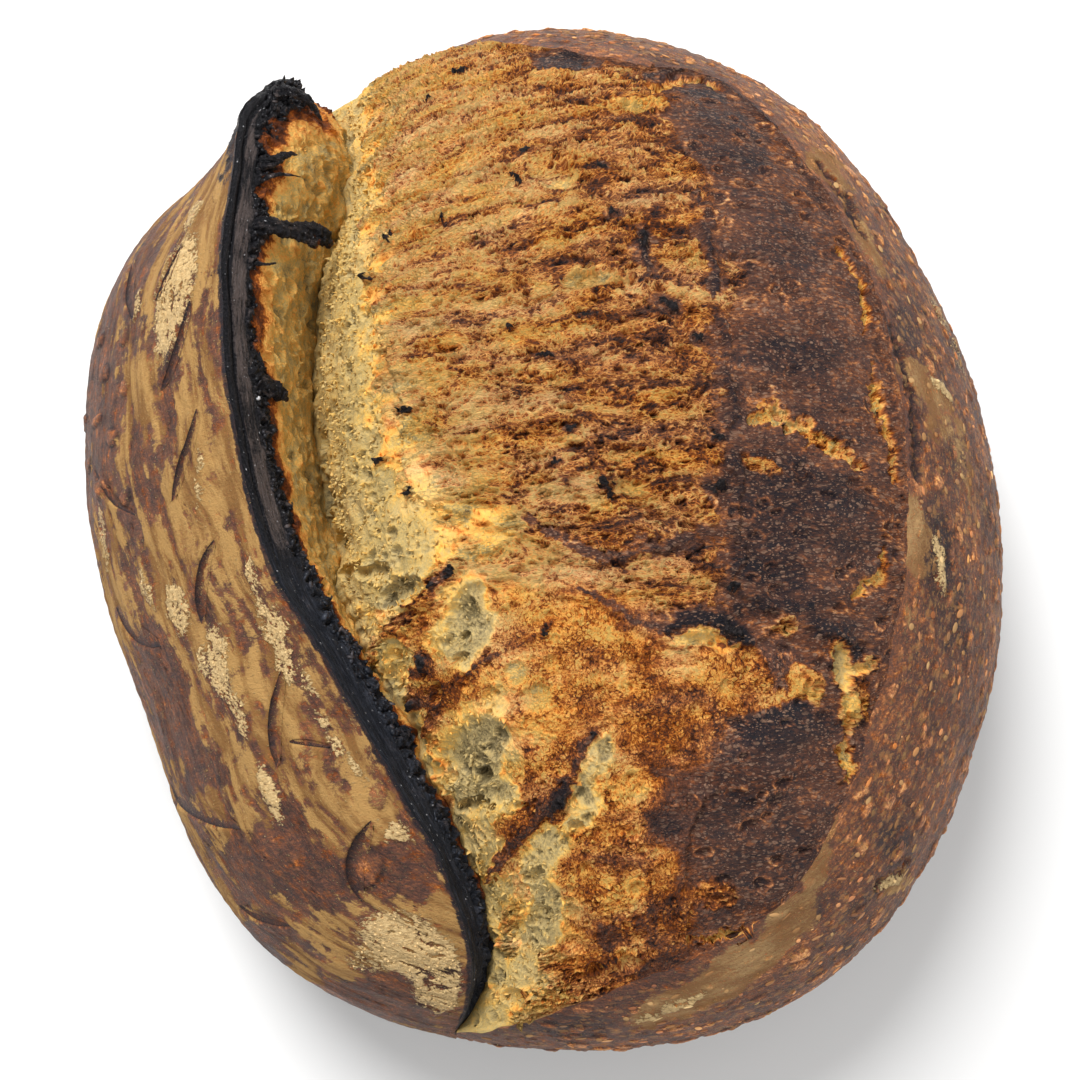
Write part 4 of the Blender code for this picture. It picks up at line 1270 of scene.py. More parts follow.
def flour_crust(material):
    """The floured side of the loaf, up to the ear's edge."""
    edge = slash_lines(slash_shares(FLOURED_COLUMNS))[0]
    grid = skin_grid(slash_angles(FLOURED_COLUMNS, NEAR_ANGLE), edge, FLOURED_ROWS)
    up = rows_up(grid)
    below_edge = up[-1] - up
    grid += ragged_edge(edge) * near(below_edge, 3)
    at = grid / MM
    plan = at[..., :2]
    flat, seam = laid_flat(grid, up, FLOURED_ROWS)
    flat[..., 1] += 2.4 * noise(flat / (18, 9), 101)
    streaks = fractal(flat / (30, 5.0), 3, 102)
    thin_streaks = fractal(flat / (14, 2.0), 3, 107)
    patches = fractal(at / 10, 3, 103)
    broken = fractal(at / 2.4, 3, 157)
    # flour lies in tongues along the loaf; bare crust shows between them
    flour = 0.14 + 0.6 * streaks + 0.55 * thin_streaks + 0.5 * patches + 0.5 * broken
    loose = wandered(plan, 2.4, 7.0, 108)
    torn_edge = wandered(plan, 0.5, 3.0, 109)
    crumbled = wandered(plan, 1.1, 3.2, 110)
    crumbled += 0.45 * noises(plan / 0.9, 156)
    flour = dusted(loose, BARE, flour, 0.52)
    flour = mix(flour, -0.05 + 0.5 * patches + 0.3 * broken, seam)
    tone = 0.40 + 0.9 * fractal(flat / (20, 4), 3, 149) + 0.3 * flour + 0.5 * thin_streaks
    flour = ease(-0.30, 0.40, flour)
    cake = caked(crumbled, FLOUR_CAKES)
    # the thick flour is broken by fine cracks and worn through in places
    nearest, second, _ = cells(flat / (2.6, 1.7), 151)
    crack = ease(0.10, 0.02, second - nearest) * ease(-0.2, 0.5, noise(at / 5, 152))
    worn = ease(0.10, 0.45, fractal(flat / (5, 2.2), 3, 153))
    cake = cake * (1 - 0.9 * crack) * (1 - 0.85 * worn)
    wrinkle = ridges(flat / (17, 2.4) + 0.2 * noise(at / 4, 154)[..., None], 2, 155) ** 9
    wrinkle = wrinkle * ease(-0.1, 0.4, noise(flat / (16, 8), 158))
    bake = FLANK_BAKE + 0.12 * fractal(at / 7, 3, 104) + 0.10 * thin_streaks + 0.14 * wrinkle
    relief = 0.5 * fractal(flat / (26, 7), 2, 105) + 0.10 * noise(at / 1.8, 106)
    relief += 0.5 * cake - 0.4 * wrinkle + 0.22 * thin_streaks + 0.15 * flour
    flour = flour * (1 - 0.8 * wrinkle)
    for width, _, points in SCORES:
        height, bare = score_line(plan, points, width)
        relief += height
        bake = mix(bake, 0.70, bare)
        flour = flour * (1 - 0.9 * bare)
        cake *= 1 - bare
    for x, y, half_x, half_y, turn in OLD_BLISTERS:
        away = lens(torn_edge, (x, y, half_x, half_y, turn))
        relief += 0.8 * bowl_shape(away)
        bake += -0.10 * ease(1.0, 0.6, away) + 0.12 * np.exp(-((away - 1.1) / 0.15) ** 2)
        flour *= 1 - 0.6 * ease(1.2, 0.8, away)
    under = below_belly(at)
    flour = flour * (1 - 0.8 * under)
    cake = cake * (1 - under)
    bake = bake + 0.12 * under
    # the outside of the ear's tip and its very edge are burnt
    below = below_edge / MM
    burnt = ease(10, 3, below) * ease(52, 66, at[..., 1]) + ease(1.2, 0.4, below)
    burnt *= ease(92, 86, at[..., 1])
    burnt = np.clip(burnt + 1.2 * noise(at / 2.5, 159) * burnt * (1 - burnt) * 4, 0, 1)
    bake = mix(bake, 0.97, burnt)
    flour = flour * (1 - burnt)
    relief += burnt * 0.7 * (ridges(at / 2.0, 2, 160) - 0.6)
    relief *= ease(0, 1.5, below)
    grid = grid + grid_normals(grid) * (relief * MM)[..., None]
    thickness = np.clip(0.30 * below_edge, 0.25 * MM, CRUST_THICKNESS)
    place = np.concatenate((flat, np.clip(tone, 0, 1)[..., None]), axis=-1)
    values = {"bake": bake, "flour": flour, "flow": place, "cake": cake * ease(1, 4, below),
              "spotted": 0.15 + 0.35 * seam}
    skin = shells("floured_crust", grid, thickness, values, material, columns=FLOURED_SPLITS)
    return skin, open_cuts(grid, values, material)


def blister_crust(material):
    """The blistered side of the loaf, up to the bloom's lip."""
    lip = slash_lines(slash_shares(BLISTERED_COLUMNS))[2][::-1]
    angle = slash_angles(BLISTERED_COLUMNS, NEAR_ANGLE - 2 * math.pi)
    grid = skin_grid(angle[::-1], lip, BLISTERED_ROWS)
    up = rows_up(grid)
    below_lip = up[-1] - up
    grid += ragged(lip, LIP_WANDER, 31) * near(below_lip, 4)
    at = grid / MM
    plan = at[..., :2]
    flat, seam = laid_flat(grid, up, BLISTERED_ROWS)
    loose = wandered(plan, 2.4, 7.0, 118)
    crumbled = wandered(plan, 0.9, 3.0, 119)
    crumbled += 0.4 * noises(plan / 0.9, 166)
    streaks = fractal(flat / (22, 5), 3, 115)
    patches = fractal(at / 10, 3, 103)
    broken = fractal(at / 2.4, 3, 157)
    flour = -0.20 + 0.5 * fractal(at / 13, 3, 111) + 0.4 * streaks + 0.5 * broken
    flour = dusted(loose, DUSTED, flour, 0.1)
    flour = mix(flour, -0.05 + 0.5 * patches + 0.3 * broken, seam)
    tone = 0.4 + 0.8 * fractal(flat / (16, 6), 3, 149)
    flour = 0.80 * ease(-0.15, 0.60, flour)
    cake = caked(crumbled, RIGHT_CAKES)
    worn = ease(0.10, 0.45, fractal(flat / (4, 2.2), 3, 163))
    cake = cake * (1 - 0.9 * worn)
    bake = 0.69 + 0.12 * fractal(at / 10, 3, 112) + 0.10 * streaks
    bake = painted(loose, RIGHT_DARK, bake, 1.4, 0.5)
    bake = mix(bake, FLANK_BAKE + 0.12 * fractal(at / 7, 3, 104), seam)
    relief = 0.4 * fractal(at / 14, 2, 113) + 0.16 * noise(at / 2.2, 114) + 0.4 * cake
    for bake_to, half_width, stand, points in RIGHT_CHAINS:
        cover = chain_cover(crumbled, points, half_width)
        bake = mix(bake, bake_to, cover)
        flour = flour * (1 - cover)
        relief += stand * cover
    # blisters of uneven size, longer than wide, pale on top
    blister, blister_rim = bubbles(flat / (5.2, 3.4), 0.22, 161)
    small_blister, _ = bubbles(flat / (2.4, 1.6), 0.30, 162)
    relief += 0.45 * blister + 0.20 * small_blister
    bake += (0.06 * blister_rim - 0.15 * ease(0.2, 0.7, blister)
             - 0.10 * ease(0.3, 0.8, small_blister))
    under = below_belly(at)
    flour = flour * (1 - 0.8 * under)
    cake = cake * (1 - under)
    bake = bake + 0.10 * under
    relief *= ease(0, 2.5 * MM, below_lip)
    grid = grid + grid_normals(grid) * (relief * MM)[..., None]
    place = np.concatenate((flat, np.clip(tone, 0, 1)[..., None]), axis=-1)
    values = {"bake": bake, "flour": flour, "flow": place,
              "cake": cake * ease(1, 4, below_lip / MM),
              "spotted": ease(0, 6, below_lip / MM) * (1 - 0.8 * under) * (1 - 0.5 * seam)}
    return shells("blistered_crust", grid, CRUST_THICKNESS, values, material,
                  columns=BLISTERED_SPLITS)


def base_crust(material):
    """The flat underside, baked against the stone."""
    angle = np.linspace(0, 2 * math.pi, BASE_COLUMNS + 1)
    share = np.linspace(0.02, 1, BASE_ROWS)[:, None]
    plan = outline_point(angle[None], BASE_SHARE * share)
    lift = np.zeros(plan.shape[:-1] + (1,))
    grid = np.concatenate((plan, lift), axis=-1)
    at = grid / MM
    flour = ease(0.0, 0.7, fractal(at / 14, 3, 121))
    bake = 0.72 + 0.1 * fractal(at / 12, 3, 122)
    normals = np.broadcast_to((0.0, 0.0, -1.0), grid.shape)
    values = {"bake": bake, "flour": flour, "flow": at, "cake": 0 * bake, "spotted": 0 * bake}
    return [shell("base_crust", grid, CRUST_THICKNESS, values, material, normals)]


# --- Scattered bits ------------------------------

def add(tree, kind, inputs=None, **settings):
    """A node with its settings, and its inputs linked or set by their name or number."""
    made = tree.nodes.new(kind)
    for key, value in settings.items():
        setattr(made, key, value)
    for key, value in (inputs or {}).items():
        if isinstance(value, bpy.types.NodeSocket):
            tree.links.new(value, made.inputs[key])
        else:
            made.inputs[key].default_value = value
    return made


def maths(tree, operation, a, b=0.0, c=0.0):
    return add(tree, "ShaderNodeMath", {0: a, 1: b, 2: c}, operation=operation).outputs[0]


def vector_maths(tree, operation, inputs):
    return add(tree, "ShaderNodeVectorMath", inputs, operation=operation).outputs[0]


def new_tree(kind, name, inputs, outputs):
    """An empty group with named inputs and outputs."""
    tree = bpy.data.node_groups.new(name, kind)
    for label, socket in inputs:
        tree.interface.new_socket(label, in_out="INPUT", socket_type=socket)
    for label, socket in outputs:
        tree.interface.new_socket(label, in_out="OUTPUT", socket_type=socket)
    return tree, tree.nodes.new("NodeGroupInput").outputs, tree.nodes.new("NodeGroupOutput").inputs


def named(tree, name):
    """An attribute of the surface, read in a geometry tree."""
    return add(tree, "GeometryNodeInputNamedAttribute", {0: name}, data_type="FLOAT").outputs[0]


SCATTER_INPUTS = (
    ("Surface", "NodeSocketGeometry"), ("Density", "NodeSocketFloat"),
    ("Spacing", "NodeSocketFloat"), ("Least Size", "NodeSocketVector"),
    ("Greatest Size", "NodeSocketVector"), ("Lean", "NodeSocketFloat"), ("Turn", "NodeSocketFloat"),
    ("Bake Shift", "NodeSocketFloat"), ("Flour Shift", "NodeSocketFloat"),
    ("Seed", "NodeSocketInt"), ("Look", "NodeSocketMaterial"),
)


def scatter_tree(name, cover, shape_kind, shape_inputs):
    """Small shapes spread over a surface, thickest where the cover attribute is 1."""
    tree, given, result = new_tree("GeometryNodeTree", name, SCATTER_INPUTS,
                                   (("Bits", "NodeSocketGeometry"),))
    spread = add(tree, "GeometryNodeDistributePointsOnFaces",
                 {0: given["Surface"], 2: given["Spacing"], 3: given["Density"],
                  5: named(tree, cover), 6: given["Seed"]}, distribute_method="POISSON").outputs
    shape = add(tree, shape_kind, shape_inputs).outputs[0]
    size = add(tree, "FunctionNodeRandomValue",
               {0: given["Least Size"], 1: given["Greatest Size"], 8: given["Seed"]},
               data_type="FLOAT_VECTOR").outputs[0]
    lean = vector_maths(tree, "SCALE", {0: (1, 1, 0), 3: given["Lean"]})
    about = vector_maths(tree, "SCALE", {0: (0, 0, 1), 3: given["Turn"]})
    most = vector_maths(tree, "ADD", {0: lean, 1: about})
    least = vector_maths(tree, "SCALE", {0: most, 3: -1.0})
    turn = add(tree, "FunctionNodeRandomValue", {0: least, 1: most, 8: TURN_SEED},
               data_type="FLOAT_VECTOR").outputs[0]
    turn = add(tree, "FunctionNodeEulerToRotation", {0: turn}).outputs[0]
    turn = add(tree, "FunctionNodeRotateRotation", {0: spread[2], 1: turn},
               rotation_space="LOCAL").outputs[0]
    bits = add(tree, "GeometryNodeInstanceOnPoints",
               {0: spread[0], 2: shape, 5: turn, 6: size}).outputs[0]
    bits = add(tree, "GeometryNodeRealizeInstances", {0: bits}).outputs[0]
    for key, shift in (("bake", "Bake Shift"), ("flour", "Flour Shift")):
        value = maths(tree, "ADD", named(tree, key), given[shift])
        bits = add(tree, "GeometryNodeStoreNamedAttribute", {0: bits, 2: key, 3: value},
                   data_type="FLOAT", domain="POINT").outputs[0]
    bits = add(tree, "GeometryNodeSetShadeSmooth", {0: bits}).outputs[0]
    look = add(tree, "GeometryNodeSetMaterial", {0: bits, 2: given["Look"]})
    tree.links.new(look.outputs[0], result[0])
    return tree


def scatter(name, surface, tree, settings):
    """A piece made of the bits that a tree spreads over another piece."""
    carrier = bpy.data.objects.new(name + "_surface", surface.data)
    bpy.context.scene.collection.objects.link(carrier)
    spread = carrier.modifiers.new("spread", "NODES")
    spread.node_group = tree
    keys = {item.name: item.identifier for item in tree.interface.items_tree
            if item.item_type == "SOCKET" and item.in_out == "INPUT"}
    for label, value in settings.items():
        spread[keys[label]] = value
    bpy.context.view_layer.update()
    evaluated = carrier.evaluated_get(bpy.context.evaluated_depsgraph_get())
    mesh = bpy.data.meshes.new_from_object(evaluated)
    carrier.modifiers.remove(spread)
    bpy.data.objects.remove(carrier)
    mesh.name = name
    piece = bpy.data.objects.new(name, mesh)
    bpy.context.scene.collection.objects.link(piece)
    return piece


TURN_SEED = 7
ROUND_BIT = ("GeometryNodeMeshIcoSphere", {0: 1.0, 1: 1})
# Small bits: what they cover, their shape; how many to a square metre, their spacing, least and
# greatest size in millimetres; how far they lean and turn, their change of bake and flour, a seed
BITS = {
    "crumb_shreds": ("shreds", ("GeometryNodeMeshCone", {0: 5, 3: 0.15, 4: 1.0, 5: 2.0}),
                     8e5, 0.75, (0.15, 0.05, 0.15), (0.75, 0.10, 0.60),
                     0.8, math.pi, 0.02, 0.0, 11),
    "char_flakes": ("chips", ROUND_BIT,
                    8e5, 0.7, (0.25, 0.2, 0.08), (1.2, 0.8, 0.35), 0.9, math.pi, 0.0, 0.0, 21),
    "crust_blisters": ("spotted", ("GeometryNodeMeshIcoSphere", {0: 1.0, 1: 2}),
                       3.6e4, 2.4, (0.35, 0.3, 0.10), (1.3, 0.8, 0.25), 0.05, 0.4, -0.10, 0.45, 31),
    "crust_dots": ("spotted", ROUND_BIT,
                   4e4, 2.0, (0.2, 0.15, 0.05), (0.5, 0.3, 0.12), 0.05, 0.5, -0.12, 0.40, 35),
    "flour_crumbs": ("cake", ROUND_BIT,
                     9e5, 0.7, (0.10, 0.10, 0.08), (0.40, 0.32, 0.22), 0.5, math.pi, 0.0, 0.0, 41),
}


def scatter_kind(kind, tree, part, number, name, look):
    """One piece of bits of a kind, spread over part of the loaf."""
    density, spacing, least, greatest, lean, turn, bake, flour, seed = BITS[kind][2:]
    return scatter(name, part, tree, {
        "Density": density, "Spacing": spacing * MM, "Least Size": [size * MM for size in least],
        "Greatest Size": [size * MM for size in greatest], "Lean": lean, "Turn": turn,
        "Bake Shift": bake, "Flour Shift": flour, "Seed": seed + number, "Look": look})


def scatter_bits(surfaces):
    """Shreds of crumb, flakes of char, small blisters and crumbs of flour."""
    trees = {kind: scatter_tree(kind, row[0], *row[1]) for kind, row in BITS.items()}
    made = []
    for kinds, parts, look in surfaces:
        for number, part in enumerate(parts):
            for kind in kinds:
                name = kind if len(parts) == 1 else "%s_%d" % (kind, number + 1)
                made.append(scatter_kind(kind, trees[kind], part, number, name, look))
    return made


# --- Materials -----------------------------------

def shade(red, green, blue):
    """A colour as the eye reads it, 0 to 255, made linear."""
    parts = [c / 255 for c in (red, green, blue)]
    return tuple(c / 12.92 if c <= 0.04045 else ((c + 0.055) / 1.055) ** 2.4
                 for c in parts) + (1.0,)


def times(tree, a, b):
    return maths(tree, "MULTIPLY", a, b)


def one_less(tree, value):
    return maths(tree, "SUBTRACT", 1.0, value)


def summed(tree, *terms):
    """The sum of value * weight pairs."""
    total = 0.0
    for value, weight in terms:
        total = maths(tree, "MULTIPLY_ADD", value, weight, total)
    return total


def blended(tree, share, a, b):
    """Colour a turning to colour b."""
    return add(tree, "ShaderNodeMix", {0: share, 6: a, 7: b}, data_type="RGBA").outputs[2]


def between(tree, value, low, high, to_low=0.0, to_high=1.0):
    return add(tree, "ShaderNodeMapRange",
               {"Value": value, "From Min": low, "From Max": high,
                "To Min": to_low, "To Max": to_high},
               interpolation_type="SMOOTHSTEP").outputs["Result"]


def attribute(tree, name, output="Fac"):
    return add(tree, "ShaderNodeAttribute", attribute_name=name).outputs[output]


def axes(tree, vector):
    return add(tree, "ShaderNodeSeparateXYZ", {0: vector}).outputs


def surface_place(tree):
    """Where a point lies on its own piece, in millimetres along and across, and its tone."""
    place = attribute(tree, "flow", "Vector")
    return place, axes(tree, place)[2]


def grain_about_zero(tree, vector, scale, detail, roughness):
    return maths(tree, "SUBTRACT", grain(tree, vector, scale, detail, roughness), 0.5)


def no_paler(tree, bake, baked):
    """Fine detail doesn't turn toasted dough back into grey crumb."""
    palest = maths(tree, "SUBTRACT", maths(tree, "MINIMUM", baked, 0.27), 0.04)
    return maths(tree, "MAXIMUM", bake, palest)


def stretched(tree, vector, across, along):
    return vector_maths(tree, "MULTIPLY", {0: vector, 1: (across, along, 0.0)})


def grain(tree, vector, scale, detail=3.0, roughness=0.6, output="Fac"):
    return add(tree, "ShaderNodeTexNoise",
               {"Vector": vector, "Scale": scale, "Detail": detail, "Roughness": roughness},
               noise_dimensions="2D").outputs[output]


# How the crumb and crust darken: bake, the orange shade and the rosier shade
# The stops below the plain crumb's 0.13 turn grey and dark: painted shade, reached in the crumb's
# deep holes
BAKE_SHADES = (
    (0.00, (120, 106, 72), (130, 116, 88)), (0.07, (179, 157, 107), (182, 161, 115)),
    (0.13, (206, 178, 114), (210, 183, 127)), (0.19, (220, 180, 100), (228, 191, 127)),
    (0.25, (246, 194, 98), (254, 210, 148)), (0.32, (255, 186, 90), (255, 204, 142)),
    (0.40, (242, 162, 72), (246, 178, 118)), (0.49, (198, 110, 34), (204, 134, 86)),
    (0.58, (142, 70, 16), (150, 94, 62)), (0.68, (102, 50, 18), (112, 73, 58)),
    (0.78, (70, 36, 20), (84, 58, 50)), (0.89, (44, 28, 26), (56, 43, 45)),
    (1.00, (24, 22, 26), (36, 34, 40)),
)


def bake_ramp(tree, bake, column):
    ramp = add(tree, "ShaderNodeValToRGB", {"Fac": bake})
    stops = ramp.color_ramp.elements
    stops[0].position, stops[0].color = BAKE_SHADES[0][0], shade(*BAKE_SHADES[0][column])
    stops[1].position, stops[1].color = BAKE_SHADES[-1][0], shade(*BAKE_SHADES[-1][column])
    for row in BAKE_SHADES[1:-1]:
        stops.new(row[0]).color = shade(*row[column])
    return ramp.outputs["Color"]


def bake_colour_group():
    """How the crumb and crust darken as they bake, more orange or more rosy."""
    tree, given, result = new_tree(
        "ShaderNodeTree", "bake_colour",
        (("Bake", "NodeSocketFloat"), ("Blush", "NodeSocketFloat")), (("Color", "NodeSocketColor"),))
    orange, rosy = [bake_ramp(tree, given["Bake"], column) for column in (1, 2)]
    tree.links.new(blended(tree, given["Blush"], orange, rosy), result["Color"])
    return tree


def placed(tree, group, **inputs):
    """A group's outputs, with its inputs given by name."""
    return add(tree, "ShaderNodeGroup", inputs, node_tree=group).outputs


def new_material(name):
    material = bpy.data.materials.new(name)
    material.use_nodes = True
    tree = material.node_tree
    return material, tree, tree.nodes["Principled BSDF"]


GLOSS = 0.22


def finish_shader(tree, shader, colour, roughness, height, depth):
    """Links a colour, a roughness and a bump whose height is in millimetres."""
    bump = add(tree, "ShaderNodeBump", {"Height": height, "Distance": depth * MM,
                                        "Strength": 1.0})
    tree.links.new(colour, shader.inputs["Base Color"])
    tree.links.new(roughness, shader.inputs["Roughness"])
    tree.links.new(bump.outputs["Normal"], shader.inputs["Normal"])
    shader.inputs["Specular IOR Level"].default_value = GLOSS


def cell_wall_group():
    """1 on thin walls between scattered cells, 0 inside them."""
    tree, given, result = new_tree(
        "ShaderNodeTree", "cell_wall",
        (("Place", "NodeSocketVector"), ("Width", "NodeSocketFloat")), (("Wall", "NodeSocketFloat"),))
    edges = add(tree, "ShaderNodeTexVoronoi", {"Vector": given["Place"], "Scale": 1.0},
                feature="DISTANCE_TO_EDGE", voronoi_dimensions="2D")
    inner = times(tree, given["Width"], 0.1)
    wall = between(tree, edges.outputs["Distance"], given["Width"], inner)
    tree.links.new(wall, result["Wall"])
    return tree


def swayed(tree, vector, sway, amount):
    """A vector moved by a colour of noise."""
    shift = vector_maths(tree, "SUBTRACT", {0: sway, 1: (0.5, 0.5, 0.5)})
    return vector_maths(tree, "MULTIPLY_ADD", {0: shift, 1: (amount, amount, 0.0), 2: vector})


def specks_group():
    """Small scattered spots of uneven size, and the rims round them."""
    tree, given, result = new_tree(
        "ShaderNodeTree", "specks", (("Place", "NodeSocketVector"), ("Size", "NodeSocketFloat")),
        (("Speck", "NodeSocketFloat"), ("Rim", "NodeSocketFloat")))
    spots_in = add(tree, "ShaderNodeTexVoronoi", {"Vector": given["Place"], "Scale": 1.0},
                   voronoi_dimensions="2D").outputs
    parts = add(tree, "ShaderNodeSeparateColor", {"Color": spots_in["Color"]}).outputs
    size = times(tree, times(tree, parts[0], parts[1]), given["Size"])
    share = maths(tree, "DIVIDE", spots_in["Distance"], maths(tree, "ADD", size, 0.001))
    ring = maths(tree, "ABSOLUTE", maths(tree, "SUBTRACT", share, 1.15))
    tree.links.new(between(tree, share, 1.1, 0.7), result["Speck"])
    tree.links.new(between(tree, ring, 0.3, 0.1), result["Rim"])
    return tree


def torn_material(bake_colour, cell_wall, specks):
    """Crumb, webbing, dark crust and char, from each point's bake and char."""
    material, tree, shader = new_material("baked_tear")
    place, blush = surface_place(tree)
    netting, crumb, crust = axes(tree, attribute(tree, "kind", "Vector"))
    even = maths(tree, "MAXIMUM", netting, crumb)
    sway = grain(tree, stretched(tree, place, 0.5, 0.9), 1.0, 2.0, 0.5, "Color")
    moved = swayed(tree, place, sway, 0.9)
    long_grain = grain(tree, stretched(tree, place, 0.8, 2.6), 1.0, 4.0, 0.72)
    round_grain = grain(tree, place, 1.6, 4.0, 0.70)
    weave = add(tree, "ShaderNodeMix", {0: even, 2: long_grain, 3: round_grain}).outputs[0]
    fine = maths(tree, "SUBTRACT", weave, 0.5)
    cells = []
    for across, along, width in ((0.42, 1.05, 0.14), (0.95, 2.1, 0.20), (1.0, 1.0, 0.16)):
        place_in = stretched(tree, moved, across, along)
        cells.append(placed(tree, cell_wall, Place=place_in, Width=width)["Wall"])
    long_wall = maths(tree, "MAXIMUM", cells[0], times(tree, cells[1], 0.8))
    wall = add(tree, "ShaderNodeMix", {0: even, 2: long_wall, 3: cells[2]}).outputs[0]
    patchy = between(tree, weave, 0.30, 0.62)
    wall = times(tree, wall, patchy)
    open_dough = summed(tree, (crust, -0.7), (netting, -0.55), (1.0, 1.0))
    open_dough = maths(tree, "MAXIMUM", open_dough, 0.0)
    calm = one_less(tree, times(tree, crumb, 0.65))
    baked_share = one_less(tree, crumb)
    wall = times(tree, times(tree, wall, open_dough), baked_share)
    dashes = []
    for across, along, size in ((0.55, 1.2, 0.60), (1.1, 2.2, 0.50)):
        place_in = stretched(tree, moved, across, along)
        dashes.append(placed(tree, specks, Place=place_in, Size=size)["Speck"])
    dash = maths(tree, "MAXIMUM", times(tree, dashes[0], patchy), dashes[1])
    dash = times(tree, dash, crust)
    webbing = 0.0
    for scale, size in ((0.55, 0.75), (1.2, 0.70)):
        ring = placed(tree, specks, Place=stretched(tree, moved, scale, scale), Size=size)
        webbing = summed(tree, (webbing, 1.0), (ring["Rim"], 0.12), (ring["Speck"], -0.08))
    webbing = times(tree, times(tree, webbing, netting), baked_share)
    strength = times(tree, summed(tree, (crust, -0.10), (1.0, 0.85)), calm)
    baked = attribute(tree, "bake")
    tinted = maths(tree, "MINIMUM", fine, summed(tree, (open_dough, -0.16), (1.0, 0.25)))
    bake = summed(tree, (baked, 1.0), (times(tree, tinted, strength), 1.0), (webbing, 1.0),
                  (wall, -0.34), (times(tree, open_dough, calm), 0.04))
    bake = no_paler(tree, bake, baked)
    colour = placed(tree, bake_colour, Bake=bake, Blush=blush)["Color"]
    colour = blended(tree, times(tree, dash, 0.6), colour, shade(192, 150, 122))
    char = summed(tree, (attribute(tree, "char"), 1.0), (fine, 1.4))
    char = between(tree, char, 0.35, 0.65)
    soot = blended(tree, between(tree, round_grain, 0.3, 0.75), shade(20, 20, 24),
                   shade(64, 56, 56))
    colour = blended(tree, char, colour, soot)
    roughness = between(tree, bake, 0.3, 0.95, 0.75, 0.42)
    height = summed(tree, (times(tree, fine, strength), 1.4), (wall, 0.4), (dash, 0.15),
                    (webbing, -1.5))
    finish_shader(tree, shader, colour, roughness, height, 0.9)
    return material


def ear_material(bake_colour, specks):
    """Black char, grey patches and toasted crumb on the ear."""
    material, tree, shader = new_material("charred_ear")
    place, blush = surface_place(tree)
    _, greyness, lower_half = axes(tree, attribute(tree, "kind", "Vector"))
    round_grain = grain_about_zero(tree, place, 1.9, 4.0, 0.7)
    streak = grain_about_zero(tree, stretched(tree, place, 1.6, 0.22), 1.0, 4.0, 0.7)
    baked = attribute(tree, "bake")
    bake = no_paler(tree, summed(tree, (baked, 1.0), (round_grain, 0.55)), baked)
    colour = placed(tree, bake_colour, Bake=bake, Blush=blush)["Color"]
    char = summed(tree, (attribute(tree, "char"), 1.0), (round_grain, 1.4))
    char = between(tree, char, 0.35, 0.65)
    grey = summed(tree, (greyness, 1.0), (streak, 1.6), (round_grain, 0.8))
    soot = blended(tree, between(tree, round_grain, -0.15, 0.25), shade(14, 15, 19),
                   shade(46, 44, 48))
    sheen = blended(tree, between(tree, streak, -0.1, 0.3), shade(28, 31, 38), shade(62, 66, 76))
    soot = blended(tree, lower_half, soot, sheen)
    # grey on the band behind the strip and on raised flake tops
    soot = blended(tree, between(tree, grey, 0.25, 1.0), soot, shade(98, 87, 84))
    glint = placed(tree, specks, Place=stretched(tree, place, 0.8, 0.55), Size=0.22)["Speck"]
    glint = times(tree, glint, between(tree, round_grain, 0.02, 0.10))
    soot = blended(tree, glint, soot, shade(196, 196, 200))
    colour = blended(tree, char, colour, soot)
    roughness = between(tree, char, 0.0, 1.0, 0.7, 0.40)
    height = summed(tree, (round_grain, 1.0), (times(tree, streak, char), 0.9))
    finish_shader(tree, shader, colour, roughness, height, 0.9)
    return material


